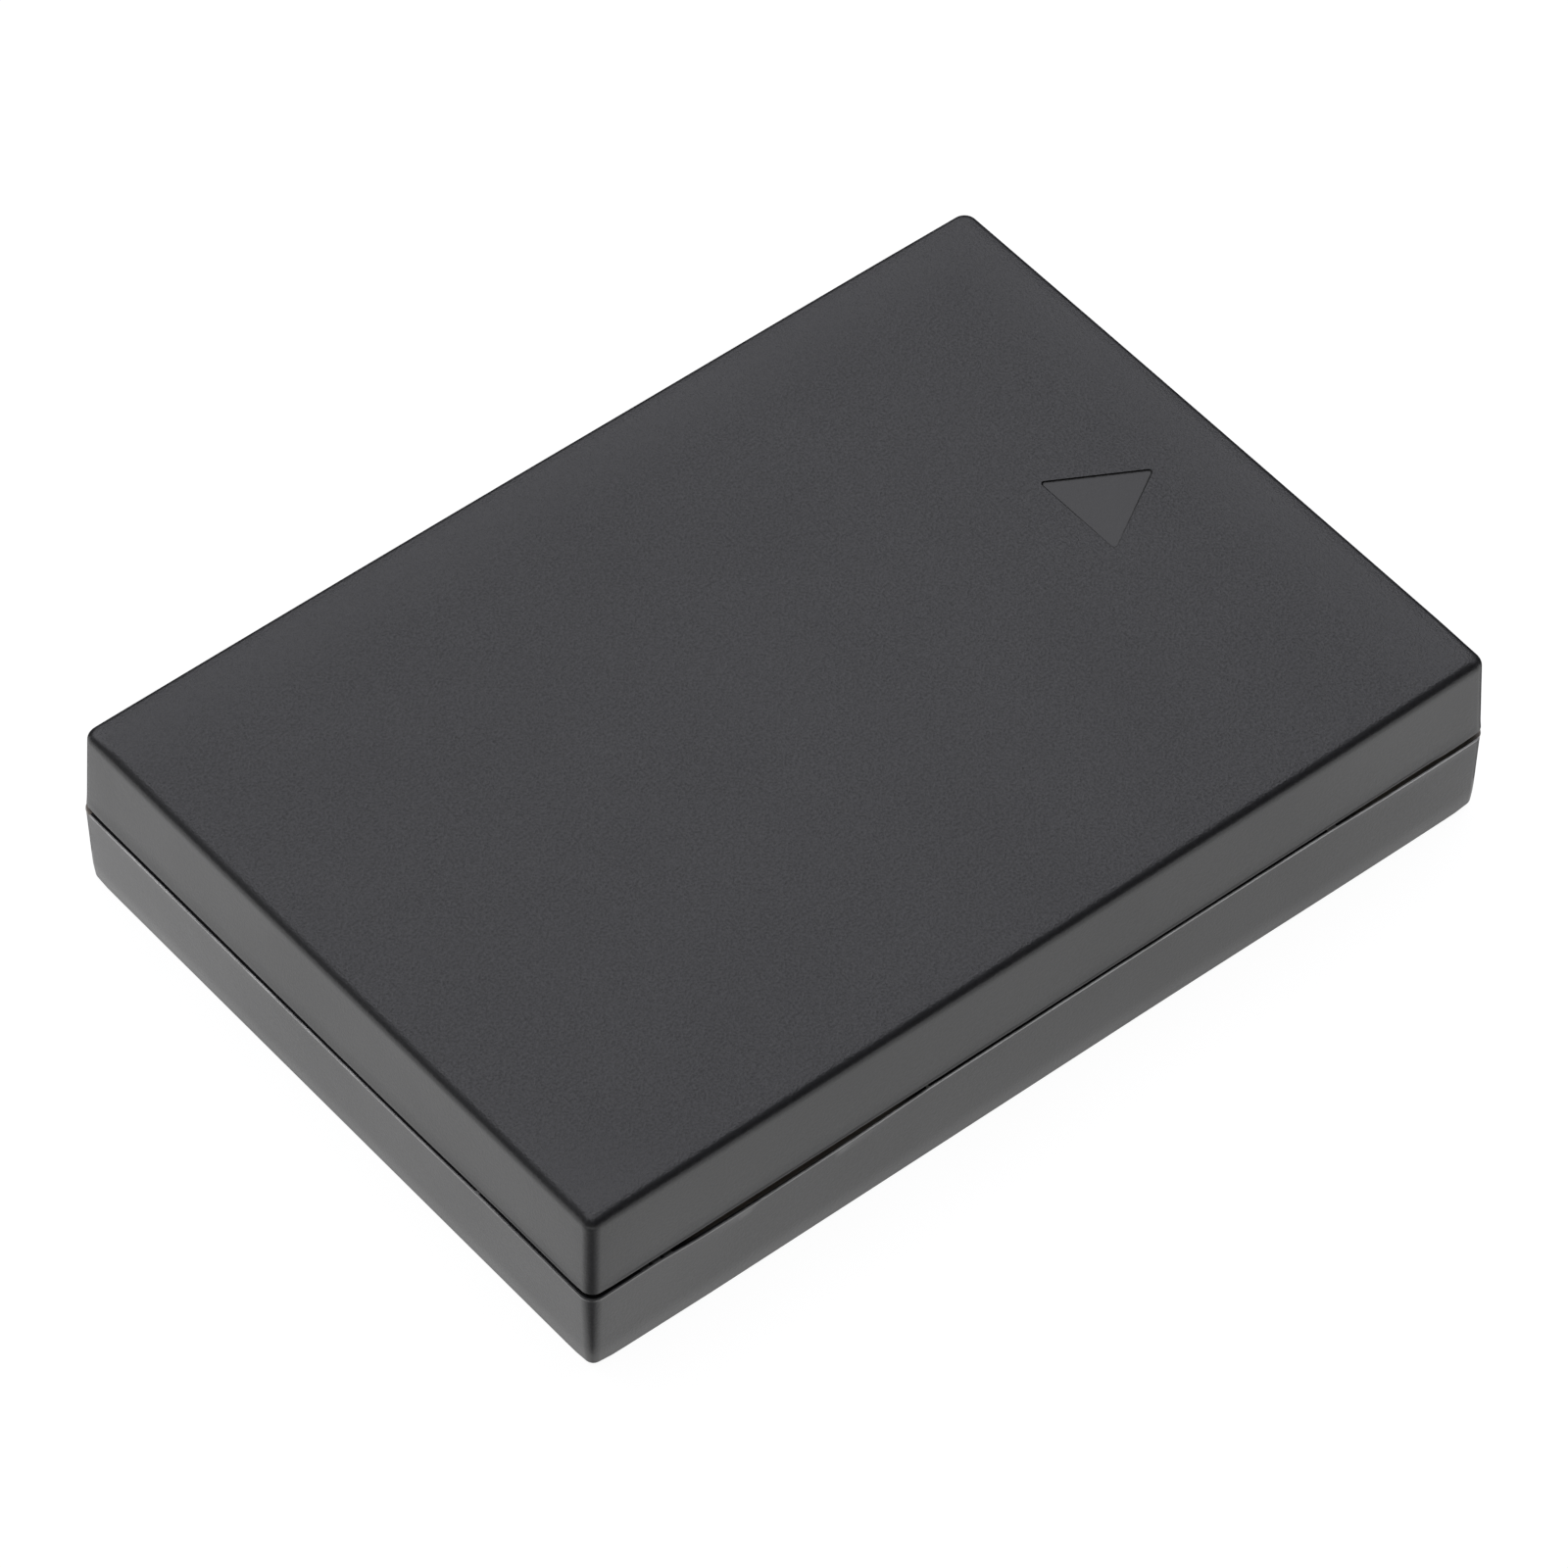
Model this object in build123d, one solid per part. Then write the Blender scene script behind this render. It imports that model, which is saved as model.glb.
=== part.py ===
# Flat camera battery: a welded two-shell casing around a sealed cell, its protection board and contacts.
# Millimetres. +X points to the contact end, +Z is up, and the origin is the middle of the underside.

import os
from math import radians, tan

from build123d import *

# Casing, outside
casing_length = 45.4  # along X, at the lower shell's rim
casing_width = 32.0  # along Y, at the lower shell's rim
casing_height = 8.7  # underside to top face
seam_height = 4.28  # lower shell's rim above the underside
seam_gap = 0.12  # open slot between the two rims
seam_step = 0.08  # upper shell stands in from the lower rim
upper_draft = 1.55  # lean of the upper shell's sides, in degrees
lower_draft = 2.27  # lean of the lower shell's sides, in degrees
corner_radius = 0.63  # upright corners, at the lower rim
top_edge_radius = 0.34
base_edge_radius = 0.29
rim_edge_radius = 0.05  # both rims, along the seam
fillet_share = 0.9  # an edge round is at most this share of the corner that it runs into
least_corner_radius = 0.1  # inner corners of the casing

# Casing, walls and welded lap
side_wall = 1.0  # at the lower rim
face_wall = 0.75  # top and underside
lip_width = 0.45  # lower shell's outer lip, beside the upper shell's tongue
lap_depth = 0.7  # rim down to the ledge that the tongue is welded to
lap_clearance = 0.05  # tongue to lip

# Arrow in the top face
arrow_length = 3.8
arrow_base = 4.43
arrow_tip_inset = 3.94  # tip in from the contact end
arrow_depth = 0.12
arrow_corner_radius = 0.12
arrow_edge_radius = 0.04  # where its walls meet the top face

# Contact windows, which the seam runs through
contact_pitch = 5.0
contact_side_inset = 7.0  # outer contact in from the casing's side, along Y
window_width = 3.4
window_height = 3.0
window_corner_radius = 0.2
contact_clearance = 0.25  # contact plate to window edge
contact_thickness = 0.5
contact_edge_radius = 0.15

# Polarity marks under the two outer windows
mark_size = 1.3
mark_stroke = 0.3
mark_depth = 0.12
mark_drop = 0.45  # window edge down to the mark

# Label film in the underside
label_margin = 1.6  # casing's rim in to the recess
label_corner_radius = 1.2
label_recess_depth = 0.12
label_thickness = 0.1
label_clearance = 0.15  # film to recess edge

# Cell and the foam that holds it
pad_thickness = 0.35
pad_margin = 1.0  # foam in from the edge of the can's flat side
cell_side_clearance = 0.25
cell_end_clearance = 0.3
cell_edge_radius = 2.6  # long edges of the can
cell_end_radius = 0.3
cell_edge_share = 0.45  # a long edge's round is at most this share of the can's thickness

# Cell terminal in the lid
terminal_thickness = 0.45
terminal_edge_radius = 0.12
shank_diameter = 1.5
gasket_thickness = 0.35
gasket_rim = 0.4  # gasket past the rivet's head
sleeve_wall = 0.5
sleeve_depth = 0.8  # lid face in to the sleeve's end
terminal_fit = 0.02  # shank to sleeve and sleeve to lid, on the radius

# Filling hole in the lid
plug_offset = 5.0  # from the terminal, towards the positive tab
plug_diameter = 1.7
plug_thickness = 0.2
plug_pin_diameter = 0.9
plug_pin_depth = 0.7
plug_fit = 0.02  # pin to hole, on the radius

# Sheet over the lid
insulator_thickness = 0.15
insulator_margin = 0.6  # in from the can's sides
insulator_corner_radius = 0.8
insulator_clearance = 0.3  # round what passes through it
insulator_bridge = 0.45  # sheet left above and below the gasket

# Nickel strips
strip_thickness = 0.15
strip_width = 2.6
strip_bend_radius = 0.3
terminal_lead_overhang = 1.5  # past the middle of the rivet
tab_weld_length = 3.0  # positive tab on the lid
foot_length = 2.0  # strip soldered to the board
foot_clearance = 0.4  # strip to the casing's posts

# Thermal fuse beside the rivet
fuse_length = 3.6
fuse_width = 3.0
fuse_offset = 5.2  # middle of the fuse from the rivet
fuse_edge_radius = 0.1

# Protection board, behind the contact windows
board_thickness = 0.8
board_clearance = 0.1  # to the end wall, and to the posts behind it
board_edge_clearance = 0.2  # to the casing on its other edges
board_space = 2.7  # cell's lid to the board

# Posts in both shells that hold the board
post_width = 1.4
post_depth = 1.0
post_clearance = 0.05  # upper post to lower post, on each side of the ledge's level

# Parts on the board's inner side: size along Y, size along Z, height
component_gap = 0.5
transistor_body = (4.4, 3.0, 1.0)
transistor_span = 6.4  # over the leads
transistor_pins = 4  # on each side
transistor_pin_pitch = 0.65
chip_body = (1.6, 2.9, 1.1)
chip_span = 2.8
chip_pins = 3
chip_pin_pitch = 0.95
pin_width = 0.3
pin_thickness = 0.25
pin_root = 0.2  # length of a pin that is moulded into the body
body_standoff = 0.1
body_edge_radius = 0.08
chip_part = (0.8, 1.6)  # outline of a resistor, capacitor or thermistor
capacitor_height = 0.8
capacitor_pitch = 2.6
resistor_height = 0.45
resistor_pitch = 2.1
thermistor_height = 0.55
chip_part_edge_radius = 0.06

# Places that follow from the sizes above
cavity_half_length = casing_length / 2 - side_wall
cavity_half_width = casing_width / 2 - side_wall
ceiling_height = casing_height - face_wall
middle_height = (face_wall + ceiling_height) / 2
ledge_height = seam_height - lap_depth
upper_rim_height = seam_height + seam_gap
window_bottom = seam_height - window_height / 2
board_outer_face = cavity_half_length - board_clearance
board_inner_face = board_outer_face - board_thickness
lid_face = board_inner_face - board_space
can_end = -cavity_half_length + cell_end_clearance
cell_width = 2 * (cavity_half_width - cell_side_clearance)
cell_thickness = ceiling_height - face_wall - 2 * pad_thickness
cell_round = min(cell_edge_radius, cell_edge_share * cell_thickness)
gasket_diameter = cell_thickness - 2 * (insulator_margin + insulator_bridge + insulator_clearance)
terminal_diameter = gasket_diameter - 2 * gasket_rim
terminal_face = lid_face + gasket_thickness + terminal_thickness
fuse_floor = lid_face + insulator_thickness + strip_thickness
sleeve_diameter = shank_diameter + 2 * terminal_fit + 2 * sleeve_wall
foot_end = cavity_half_width - post_width - foot_clearance
foot_start = foot_end - foot_length
contact_names = ["contact_positive", "contact_sense", "contact_negative"]
last_contact = casing_width / 2 - contact_side_inset
contact_places = [last_contact - step * contact_pitch for step in (2, 1, 0)]


def block(x_range, y_range, z_range):
    """Box between two values along each axis."""
    low = (x_range[0], y_range[0], z_range[0])
    size = [high - start for start, high in (x_range, y_range, z_range)]
    return Pos(*low) * Box(*size, align=(Align.MIN, Align.MIN, Align.MIN))


def disc(diameter, x_start, x_end, y=0.0):
    """Round piece along X, on the level of the cell's middle."""
    place = Plane(origin=(x_start, y, middle_height), z_dir=(1, 0, 0))
    return extrude(place * Circle(diameter / 2), x_end - x_start)


def casing_outline(inset):
    """Casing's outline, moved in from the lower shell's rim."""
    radius = max(corner_radius - inset, least_corner_radius)
    return RectangleRounded(casing_length - 2 * inset, casing_width - 2 * inset, radius)


def casing_block(inset, bottom, top):
    """Straight-sided block with the casing's outline."""
    return extrude(Pos(0, 0, bottom) * casing_outline(inset), top - bottom)


def leaning_block(inset, height, draft, far_radius, rim_radius):
    """Block that narrows upwards from its rim at zero, with both ends rounded."""
    body = extrude(casing_outline(inset), height, taper=draft)
    corner = corner_radius - inset - height * tan(radians(draft))
    far_round = min(far_radius, fillet_share * corner)
    body = fillet(body.faces().sort_by(Axis.Z)[-1].edges(), far_round)
    return fillet(body.faces().sort_by(Axis.Z)[0].edges(), rim_radius)


def contact_windows():
    """Openings through the end wall, one for each contact."""
    reach = (cavity_half_length - side_wall, casing_length / 2 + side_wall)
    levels = (window_bottom, window_bottom + window_height)
    cuts = Part()
    for place in contact_places:
        cut = block(reach, (place - window_width / 2, place + window_width / 2), levels)
        cuts += fillet(cut.edges().filter_by(Axis.X), window_corner_radius)
    return cuts


def polarity_marks():
    """Plus and minus under the outer windows, sunk into the leaning end wall."""
    middle = window_bottom - mark_drop - mark_size / 2
    face = casing_length / 2 - (seam_height - middle) * tan(radians(lower_draft))
    depth = (face - mark_depth, casing_length / 2 + side_wall)
    stroke = (middle - mark_stroke / 2, middle + mark_stroke / 2)
    plus_place, minus_place = contact_places[0], contact_places[-1]
    cuts = block(depth, (minus_place - mark_size / 2, minus_place + mark_size / 2), stroke)
    cuts += block(depth, (plus_place - mark_size / 2, plus_place + mark_size / 2), stroke)
    upright = (plus_place - mark_stroke / 2, plus_place + mark_stroke / 2)
    return cuts + block(depth, upright, (middle - mark_size / 2, middle + mark_size / 2))


def board_posts(bottom, top):
    """Two posts on the side walls, behind the ends of the board."""
    x_end = board_inner_face - board_clearance
    root = cavity_half_width + side_wall / 2
    tip = cavity_half_width - post_width
    left = block((x_end - post_depth, x_end), (tip, root), (bottom, top))
    return left + mirror(left, about=Plane.XZ)


def sink_arrow(body):
    """Triangle in the top face that points to the contact end, with its upper edge rounded off."""
    tip = casing_length / 2 - arrow_tip_inset
    corners = [(tip, 0), (tip - arrow_length, arrow_base / 2), (tip - arrow_length, -arrow_base / 2)]
    outline = make_face(Polyline(corners, close=True))
    outline = fillet(outline.vertices(), arrow_corner_radius)
    body -= extrude(Pos(0, 0, casing_height - arrow_depth) * outline, arrow_depth)
    top_face = body.faces().sort_by(Axis.Z)[-1]
    return body.fillet(arrow_edge_radius, top_face.inner_wires()[0].edges())


def upper_shell():
    body = leaning_block(
        seam_step, casing_height - upper_rim_height, upper_draft, top_edge_radius, rim_edge_radius
    )
    body = Pos(0, 0, upper_rim_height) * body
    body += casing_block(lip_width + lap_clearance, ledge_height, ceiling_height)
    body -= casing_block(side_wall, ledge_height, ceiling_height)
    body += board_posts(ledge_height + post_clearance, ceiling_height)
    return sink_arrow(body) - contact_windows()


def lower_shell():
    body = leaning_block(0, seam_height, lower_draft, base_edge_radius, rim_edge_radius)
    body = Pos(0, 0, seam_height) * mirror(body, about=Plane.XY)
    body -= casing_block(side_wall, face_wall, seam_height)
    body -= casing_block(lip_width, ledge_height, seam_height)
    body += board_posts(face_wall, ledge_height - post_clearance)
    body -= label_plate(0, label_recess_depth, 0)
    body -= polarity_marks()
    return body - contact_windows()


def label_plate(bottom, top, clearance):
    """Rounded plate of the label recess, or of the film when it has a clearance."""
    inset = label_margin + clearance
    outline = RectangleRounded(
        casing_length - 2 * inset, casing_width - 2 * inset, label_corner_radius - clearance
    )
    return extrude(Pos(0, 0, bottom) * outline, top - bottom)


def rating_label():
    return label_plate(label_recess_depth - label_thickness, label_recess_depth, label_clearance)


def foam_pad(bottom):
    """Foam on the can's flat side."""
    half_width = cell_width / 2 - cell_round - pad_margin
    x_range = (can_end + cell_end_radius + pad_margin, lid_face - cell_end_radius - pad_margin)
    return block(x_range, (-half_width, half_width), (bottom, bottom + pad_thickness))


def cell_can():
    half_width = cell_width / 2
    levels = (face_wall + pad_thickness, ceiling_height - pad_thickness)
    body = block((can_end, lid_face), (-half_width, half_width), levels)
    body = fillet(body.edges().filter_by(Axis.X), cell_round)
    ends = body.faces().sort_by(Axis.X)
    body = fillet(ends[0].edges() + ends[-1].edges(), cell_end_radius)
    body -= disc(sleeve_diameter + 2 * terminal_fit, lid_face - sleeve_depth, lid_face)
    pin_hole = plug_pin_diameter + 2 * plug_fit
    return body - disc(pin_hole, lid_face - plug_pin_depth, lid_face, -plug_offset)


def terminal_gasket():
    body = disc(gasket_diameter, lid_face, lid_face + gasket_thickness)
    body += disc(sleeve_diameter, lid_face - sleeve_depth, lid_face)
    bore = shank_diameter + 2 * terminal_fit
    return body - disc(bore, lid_face - sleeve_depth, lid_face + gasket_thickness)


def cell_terminal():
    head = disc(terminal_diameter, lid_face + gasket_thickness, terminal_face)
    head = fillet(head.faces().sort_by(Axis.X)[-1].edges(), terminal_edge_radius)
    return head + disc(shank_diameter, lid_face - sleeve_depth, lid_face + gasket_thickness)


def fill_plug():
    body = disc(plug_diameter, lid_face, lid_face + plug_thickness, -plug_offset)
    return body + disc(plug_pin_diameter, lid_face - plug_pin_depth, lid_face, -plug_offset)


def end_insulator():
    place = Plane(origin=(lid_face, 0, middle_height), x_dir=(0, 1, 0), z_dir=(1, 0, 0))
    sheet = RectangleRounded(
        cell_width - 2 * insulator_margin,
        cell_thickness - 2 * insulator_margin,
        insulator_corner_radius,
    )
    body = extrude(place * sheet, insulator_thickness)
    x_range = (lid_face, lid_face + insulator_thickness)
    body -= disc(gasket_diameter + 2 * insulator_clearance, *x_range)
    body -= disc(plug_diameter + 2 * insulator_clearance, *x_range, -plug_offset)
    half_width = strip_width / 2 + insulator_clearance
    levels = (middle_height - half_width, middle_height + half_width)
    tab_edge = -foot_start + tab_weld_length + insulator_clearance
    return body - block(x_range, (-cell_width / 2, tab_edge), levels)


def folded_strip(points):
    """Strip of nickel that follows the points in the plan, with rounded folds."""
    path = FilletPolyline(*points, radius=strip_bend_radius)
    section = trace(path, line_width=strip_thickness)
    return extrude(Pos(0, 0, middle_height - strip_width / 2) * section, strip_width)


def board_strip(x_start, y_start, side):
    """Strip from the lid out to one end of the board, and up to its foot there."""
    half = strip_thickness / 2
    riser = side * (foot_start + half)
    points = [
        (x_start + half, y_start),
        (x_start + half, riser),
        (board_inner_face - half, riser),
        (board_inner_face - half, side * foot_end),
    ]
    return folded_strip(points)


def positive_tab():
    return board_strip(lid_face, -foot_start + tab_weld_length, -1)


def fuse_lead():
    return board_strip(lid_face + insulator_thickness, fuse_offset - fuse_length / 2, 1)


def terminal_lead():
    levels = (middle_height - strip_width / 2, middle_height + strip_width / 2)
    y_range = (-terminal_lead_overhang, fuse_offset + fuse_length / 2)
    return block((terminal_face, terminal_face + strip_thickness), y_range, levels)


def thermal_fuse():
    y_range = (fuse_offset - fuse_length / 2, fuse_offset + fuse_length / 2)
    levels = (middle_height - fuse_width / 2, middle_height + fuse_width / 2)
    body = block((fuse_floor, terminal_face), y_range, levels)
    return fillet(body.edges().filter_by(Axis.X), fuse_edge_radius)


def protection_board():
    half_width = cavity_half_width - board_edge_clearance
    levels = (face_wall + board_edge_clearance, ceiling_height - board_edge_clearance)
    return block((board_inner_face, board_outer_face), (-half_width, half_width), levels)


def contact_plate(place):
    """Gold-plated plate on the board's outer side, standing in its window."""
    half_width = window_width / 2 - contact_clearance
    half_height = window_height / 2 - contact_clearance
    x_range = (board_outer_face, board_outer_face + contact_thickness)
    levels = (seam_height - half_height, seam_height + half_height)
    body = block(x_range, (place - half_width, place + half_width), levels)
    body = fillet(body.edges().filter_by(Axis.X), contact_edge_radius)
    return fillet(body.faces().sort_by(Axis.X)[-1].edges(), contact_edge_radius)


def on_board(y, z, size_y, size_z, start, end):
    """Box on the board's inner side, between two heights above it."""
    x_range = (board_inner_face - end, board_inner_face - start)
    level = middle_height + z
    return block(x_range, (y - size_y / 2, y + size_y / 2), (level - size_z / 2, level + size_z / 2))


def packaged_chip(y, body_size, span, pins, pin_pitch):
    """Moulded package with a row of flat pins on each side."""
    size_y, size_z, height = body_size
    body = on_board(y, 0, size_y, size_z, body_standoff, height)
    body = fillet(body.faces().sort_by(Axis.X)[0].edges(), body_edge_radius)
    pin_length = (span - size_y) / 2 + pin_root
    for side in (-1, 1):
        pin_middle = y + side * (span - pin_length) / 2
        for pin in range(pins):
            level = (pin - (pins - 1) / 2) * pin_pitch
            body += on_board(pin_middle, level, pin_length, pin_width, 0, pin_thickness)
    return body


def small_parts(y, levels, height):
    """Column of small ceramic parts on the board."""
    parts = []
    for level in levels:
        body = on_board(y, level, *chip_part, 0, height)
        parts.append(fillet(body.faces().sort_by(Axis.X)[0].edges(), chip_part_edge_radius))
    return Compound(parts)


def board_parts():
    """Parts on the board, set side by side along Y about its middle."""
    spans = [transistor_span, chip_span, chip_part[0], chip_part[0], chip_part[0]]
    row_length = sum(spans) + component_gap * (len(spans) - 1)
    places = []
    start = -row_length / 2
    for span in spans:
        places.append(start + span / 2)
        start += span + component_gap
    half_pitch = capacitor_pitch / 2
    resistor_levels = [-resistor_pitch, 0, resistor_pitch]
    return {
        "switch_transistor": packaged_chip(
            places[0], transistor_body, transistor_span, transistor_pins, transistor_pin_pitch
        ),
        "protection_chip": packaged_chip(places[1], chip_body, chip_span, chip_pins, chip_pin_pitch),
        "capacitors": small_parts(places[2], [-half_pitch, half_pitch], capacitor_height),
        "resistors": small_parts(places[3], resistor_levels, resistor_height),
        "thermistor": small_parts(places[4], [0], thermistor_height),
    }


nodes = {
    "upper_shell": upper_shell(),
    "lower_shell": lower_shell(),
    "rating_label": rating_label(),
    "upper_pad": foam_pad(ceiling_height - pad_thickness),
    "lower_pad": foam_pad(face_wall),
    "cell_can": cell_can(),
    "terminal_gasket": terminal_gasket(),
    "cell_terminal": cell_terminal(),
    "fill_plug": fill_plug(),
    "end_insulator": end_insulator(),
    "terminal_lead": terminal_lead(),
    "thermal_fuse": thermal_fuse(),
    "fuse_lead": fuse_lead(),
    "positive_tab": positive_tab(),
    "protection_board": protection_board(),
}
nodes.update(board_parts())
for name, place in zip(contact_names, contact_places):
    nodes[name] = contact_plate(place)

os.makedirs("parts", exist_ok=True)
for name, shape in nodes.items():
    export_step(shape, f"parts/{name}.step")
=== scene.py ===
# Camera battery: finer casing shells, a finish for every piece, and the photograph's camera and light.
from math import cos, pi, radians, sin

import bpy
from mathutils import Matrix, Vector


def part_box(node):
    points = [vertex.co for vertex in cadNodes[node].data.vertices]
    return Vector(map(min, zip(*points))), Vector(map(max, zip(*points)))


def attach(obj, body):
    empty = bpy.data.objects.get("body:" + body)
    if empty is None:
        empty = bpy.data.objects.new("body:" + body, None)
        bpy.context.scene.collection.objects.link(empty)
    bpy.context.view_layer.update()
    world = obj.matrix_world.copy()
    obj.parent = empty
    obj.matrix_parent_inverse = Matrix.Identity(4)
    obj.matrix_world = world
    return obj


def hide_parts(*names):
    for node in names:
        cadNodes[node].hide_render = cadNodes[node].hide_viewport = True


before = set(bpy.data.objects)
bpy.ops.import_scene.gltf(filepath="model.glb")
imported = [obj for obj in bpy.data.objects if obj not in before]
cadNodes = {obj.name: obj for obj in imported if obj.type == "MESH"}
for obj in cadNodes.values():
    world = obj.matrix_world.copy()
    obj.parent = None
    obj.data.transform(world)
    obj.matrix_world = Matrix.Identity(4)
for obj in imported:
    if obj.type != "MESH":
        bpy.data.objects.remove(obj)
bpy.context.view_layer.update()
mm = 0.001
print("frame loaded:", len(cadNodes), "nodes")


# Node helpers, for shader and geometry trees alike
def feed(tree, socket, value):
    if isinstance(value, bpy.types.NodeSocket):
        tree.links.new(value, socket)
    else:
        socket.default_value = value


def addNode(tree, kind, feeds=None, **settings):
    node = tree.nodes.new(kind)
    for name, value in settings.items():
        setattr(node, name, value)
    for socket, value in (feeds or {}).items():
        feed(tree, node.inputs[socket], value)
    return node


def calc(tree, operation, *values, clamp=False):
    feeds = dict(enumerate(values))
    return addNode(tree, "ShaderNodeMath", feeds, operation=operation, use_clamp=clamp).outputs[0]


def vectorCalc(tree, operation, *values):
    feeds = dict(enumerate(values))
    return addNode(tree, "ShaderNodeVectorMath", feeds, operation=operation).outputs[0]


def scaled(tree, vector, factor):
    feeds = {"Vector": vector, "Scale": factor}
    return addNode(tree, "ShaderNodeVectorMath", feeds, operation="SCALE").outputs[0]


def joinVector(tree, x=0.0, y=0.0, z=0.0):
    return addNode(tree, "ShaderNodeCombineXYZ", {"X": x, "Y": y, "Z": z}).outputs[0]


def splitVector(tree, vector):
    return addNode(tree, "ShaderNodeSeparateXYZ", {"Vector": vector}).outputs


def ramp(tree, value, low, high, toLow=0.0, toHigh=1.0, smooth=True):
    feeds = {"Value": value, "From Min": low, "From Max": high, "To Min": toLow, "To Max": toHigh}
    kind = "SMOOTHSTEP" if smooth else "LINEAR"
    return addNode(tree, "ShaderNodeMapRange", feeds, interpolation_type=kind).outputs[0]


def reachRamp(tree, value, reach, toLow=0.0, toHigh=1.0):
    # the same between two places in mm
    start, full = reach
    return ramp(tree, value, start * mm, full * mm, toLow, toHigh)


# Camera
cameraView = {
    "azimuth": -40.05,  # degrees round the pack, 0 looks along +Y
    "elevation": 49.215,
    "roll": 0.796,
    "distance": 374.02,  # mm
    "target": (-0.6545, -0.638, 4.35),  # mm
    "lens": 219.0,
    "sensor": 36.0,
}


def makeCamera():
    az, el, roll = (radians(cameraView[key]) for key in ("azimuth", "elevation", "roll"))
    back = Vector((sin(az) * cos(el), -cos(az) * cos(el), sin(el)))
    right = Vector((cos(az), sin(az), 0))
    up = back.cross(right)
    rolledRight = cos(roll) * right + sin(roll) * up
    rolledUp = cos(roll) * up - sin(roll) * right
    data = bpy.data.cameras.new("photoCamera")
    data.lens = cameraView["lens"]
    data.sensor_width = cameraView["sensor"]
    data.clip_start = 0.01  # m
    camera = bpy.data.objects.new("photoCamera", data)
    place = Vector(cameraView["target"]) * mm + back * cameraView["distance"] * mm
    turn = Matrix((rolledRight, rolledUp, back)).transposed().to_4x4()
    camera.matrix_world = Matrix.Translation(place) @ turn
    bpy.context.collection.objects.link(camera)
    bpy.context.scene.camera = camera


bpy.context.scene.view_settings.view_transform = "Standard"
makeCamera()
print("camera placed")


# Geometry node helpers: curves through points, and a wall swept round a rounded rectangle
meshing = {
    "ringStep": 0.6,  # mm between the columns of a wall
    "cornerSteps": 12,
    "sectionSteps": 10,  # in each round of a section
    "wallRows": 5,  # extra rows in the height of a wall
    "windowSteps": 6,
    "arrowSteps": 5,
    "sharpAngle": 35,  # degrees
    "cutEdgeRound": 0.05,  # mm, on the edges of windows and label recess
    "cutEdgeSteps": 3,
}


def indexSwitch(tree, kind, values):
    node = addNode(tree, "GeometryNodeIndexSwitch", {}, data_type=kind)
    while len(node.index_switch_items) < len(values):
        node.index_switch_items.new()
    feed(tree, node.inputs[0], addNode(tree, "GeometryNodeInputIndex").outputs[0])
    for place, value in enumerate(values):
        feed(tree, node.inputs[place + 1], value)
    return node.outputs[0]


def pointCurve(tree, points, radii, rounds, closed=False):
    spots = indexSwitch(tree, "VECTOR", [joinVector(tree, *point) for point in points])
    cloud = addNode(tree, "GeometryNodePoints", {"Count": len(points), "Position": spots})
    curve = addNode(tree, "GeometryNodePointsToCurves", {"Points": cloud.outputs[0]}).outputs[0]
    if closed:
        curve = addNode(tree, "GeometryNodeSetSplineCyclic", {"Geometry": curve, "Cyclic": True}).outputs[0]
    return roundedCurve(tree, curve, indexSwitch(tree, "FLOAT", radii), rounds)


def roundedCurve(tree, curve, radius, rounds):
    node = addNode(tree, "GeometryNodeFilletCurve", {"Curve": curve, "Radius": radius}, mode="POLY")
    node.inputs["Count"].default_value = rounds
    return node.outputs[0]


def roundedRectangle(tree, halfLength, halfWidth, radius, rounds):
    width, height = (calc(tree, "MULTIPLY", half, 2.0) for half in (halfLength, halfWidth))
    feeds = {"Width": width, "Height": height}
    curve = addNode(tree, "GeometryNodeCurvePrimitiveQuadrilateral", feeds).outputs[0]
    return roundedCurve(tree, curve, radius, rounds)


def divideSides(tree, curve, step):
    position = addNode(tree, "GeometryNodeInputPosition").outputs[0]
    following = addNode(tree, "GeometryNodeOffsetPointInCurve", {"Offset": 1}).outputs["Point Index"]
    feeds = {"Value": position, "Index": following}
    settings = {"data_type": "FLOAT_VECTOR", "domain": "POINT"}
    nextPosition = addNode(tree, "GeometryNodeFieldAtIndex", feeds, **settings).outputs[0]
    feeds = {0: position, 1: nextPosition}
    length = addNode(tree, "ShaderNodeVectorMath", feeds, operation="DISTANCE").outputs["Value"]
    cuts = calc(tree, "FLOOR", calc(tree, "DIVIDE", length, step))
    return addNode(tree, "GeometryNodeSubdivideCurve", {"Curve": curve, "Cuts": cuts}).outputs[0]


def samplePoint(tree, curve, index):
    position = addNode(tree, "GeometryNodeInputPosition").outputs[0]
    feeds = {"Geometry": curve, "Value": position, "Index": index}
    settings = {"data_type": "FLOAT_VECTOR", "domain": "POINT"}
    return addNode(tree, "GeometryNodeSampleIndex", feeds, **settings).outputs[0]


def pointCount(tree, curve):
    feeds = {"Geometry": curve}
    return addNode(tree, "GeometryNodeAttributeDomainSize", feeds, component="CURVE").outputs[0]


def clampVector(tree, vector, limit):
    lower = vectorCalc(tree, "MAXIMUM", vector, scaled(tree, limit, -1.0))
    return vectorCalc(tree, "MINIMUM", lower, limit)


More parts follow.
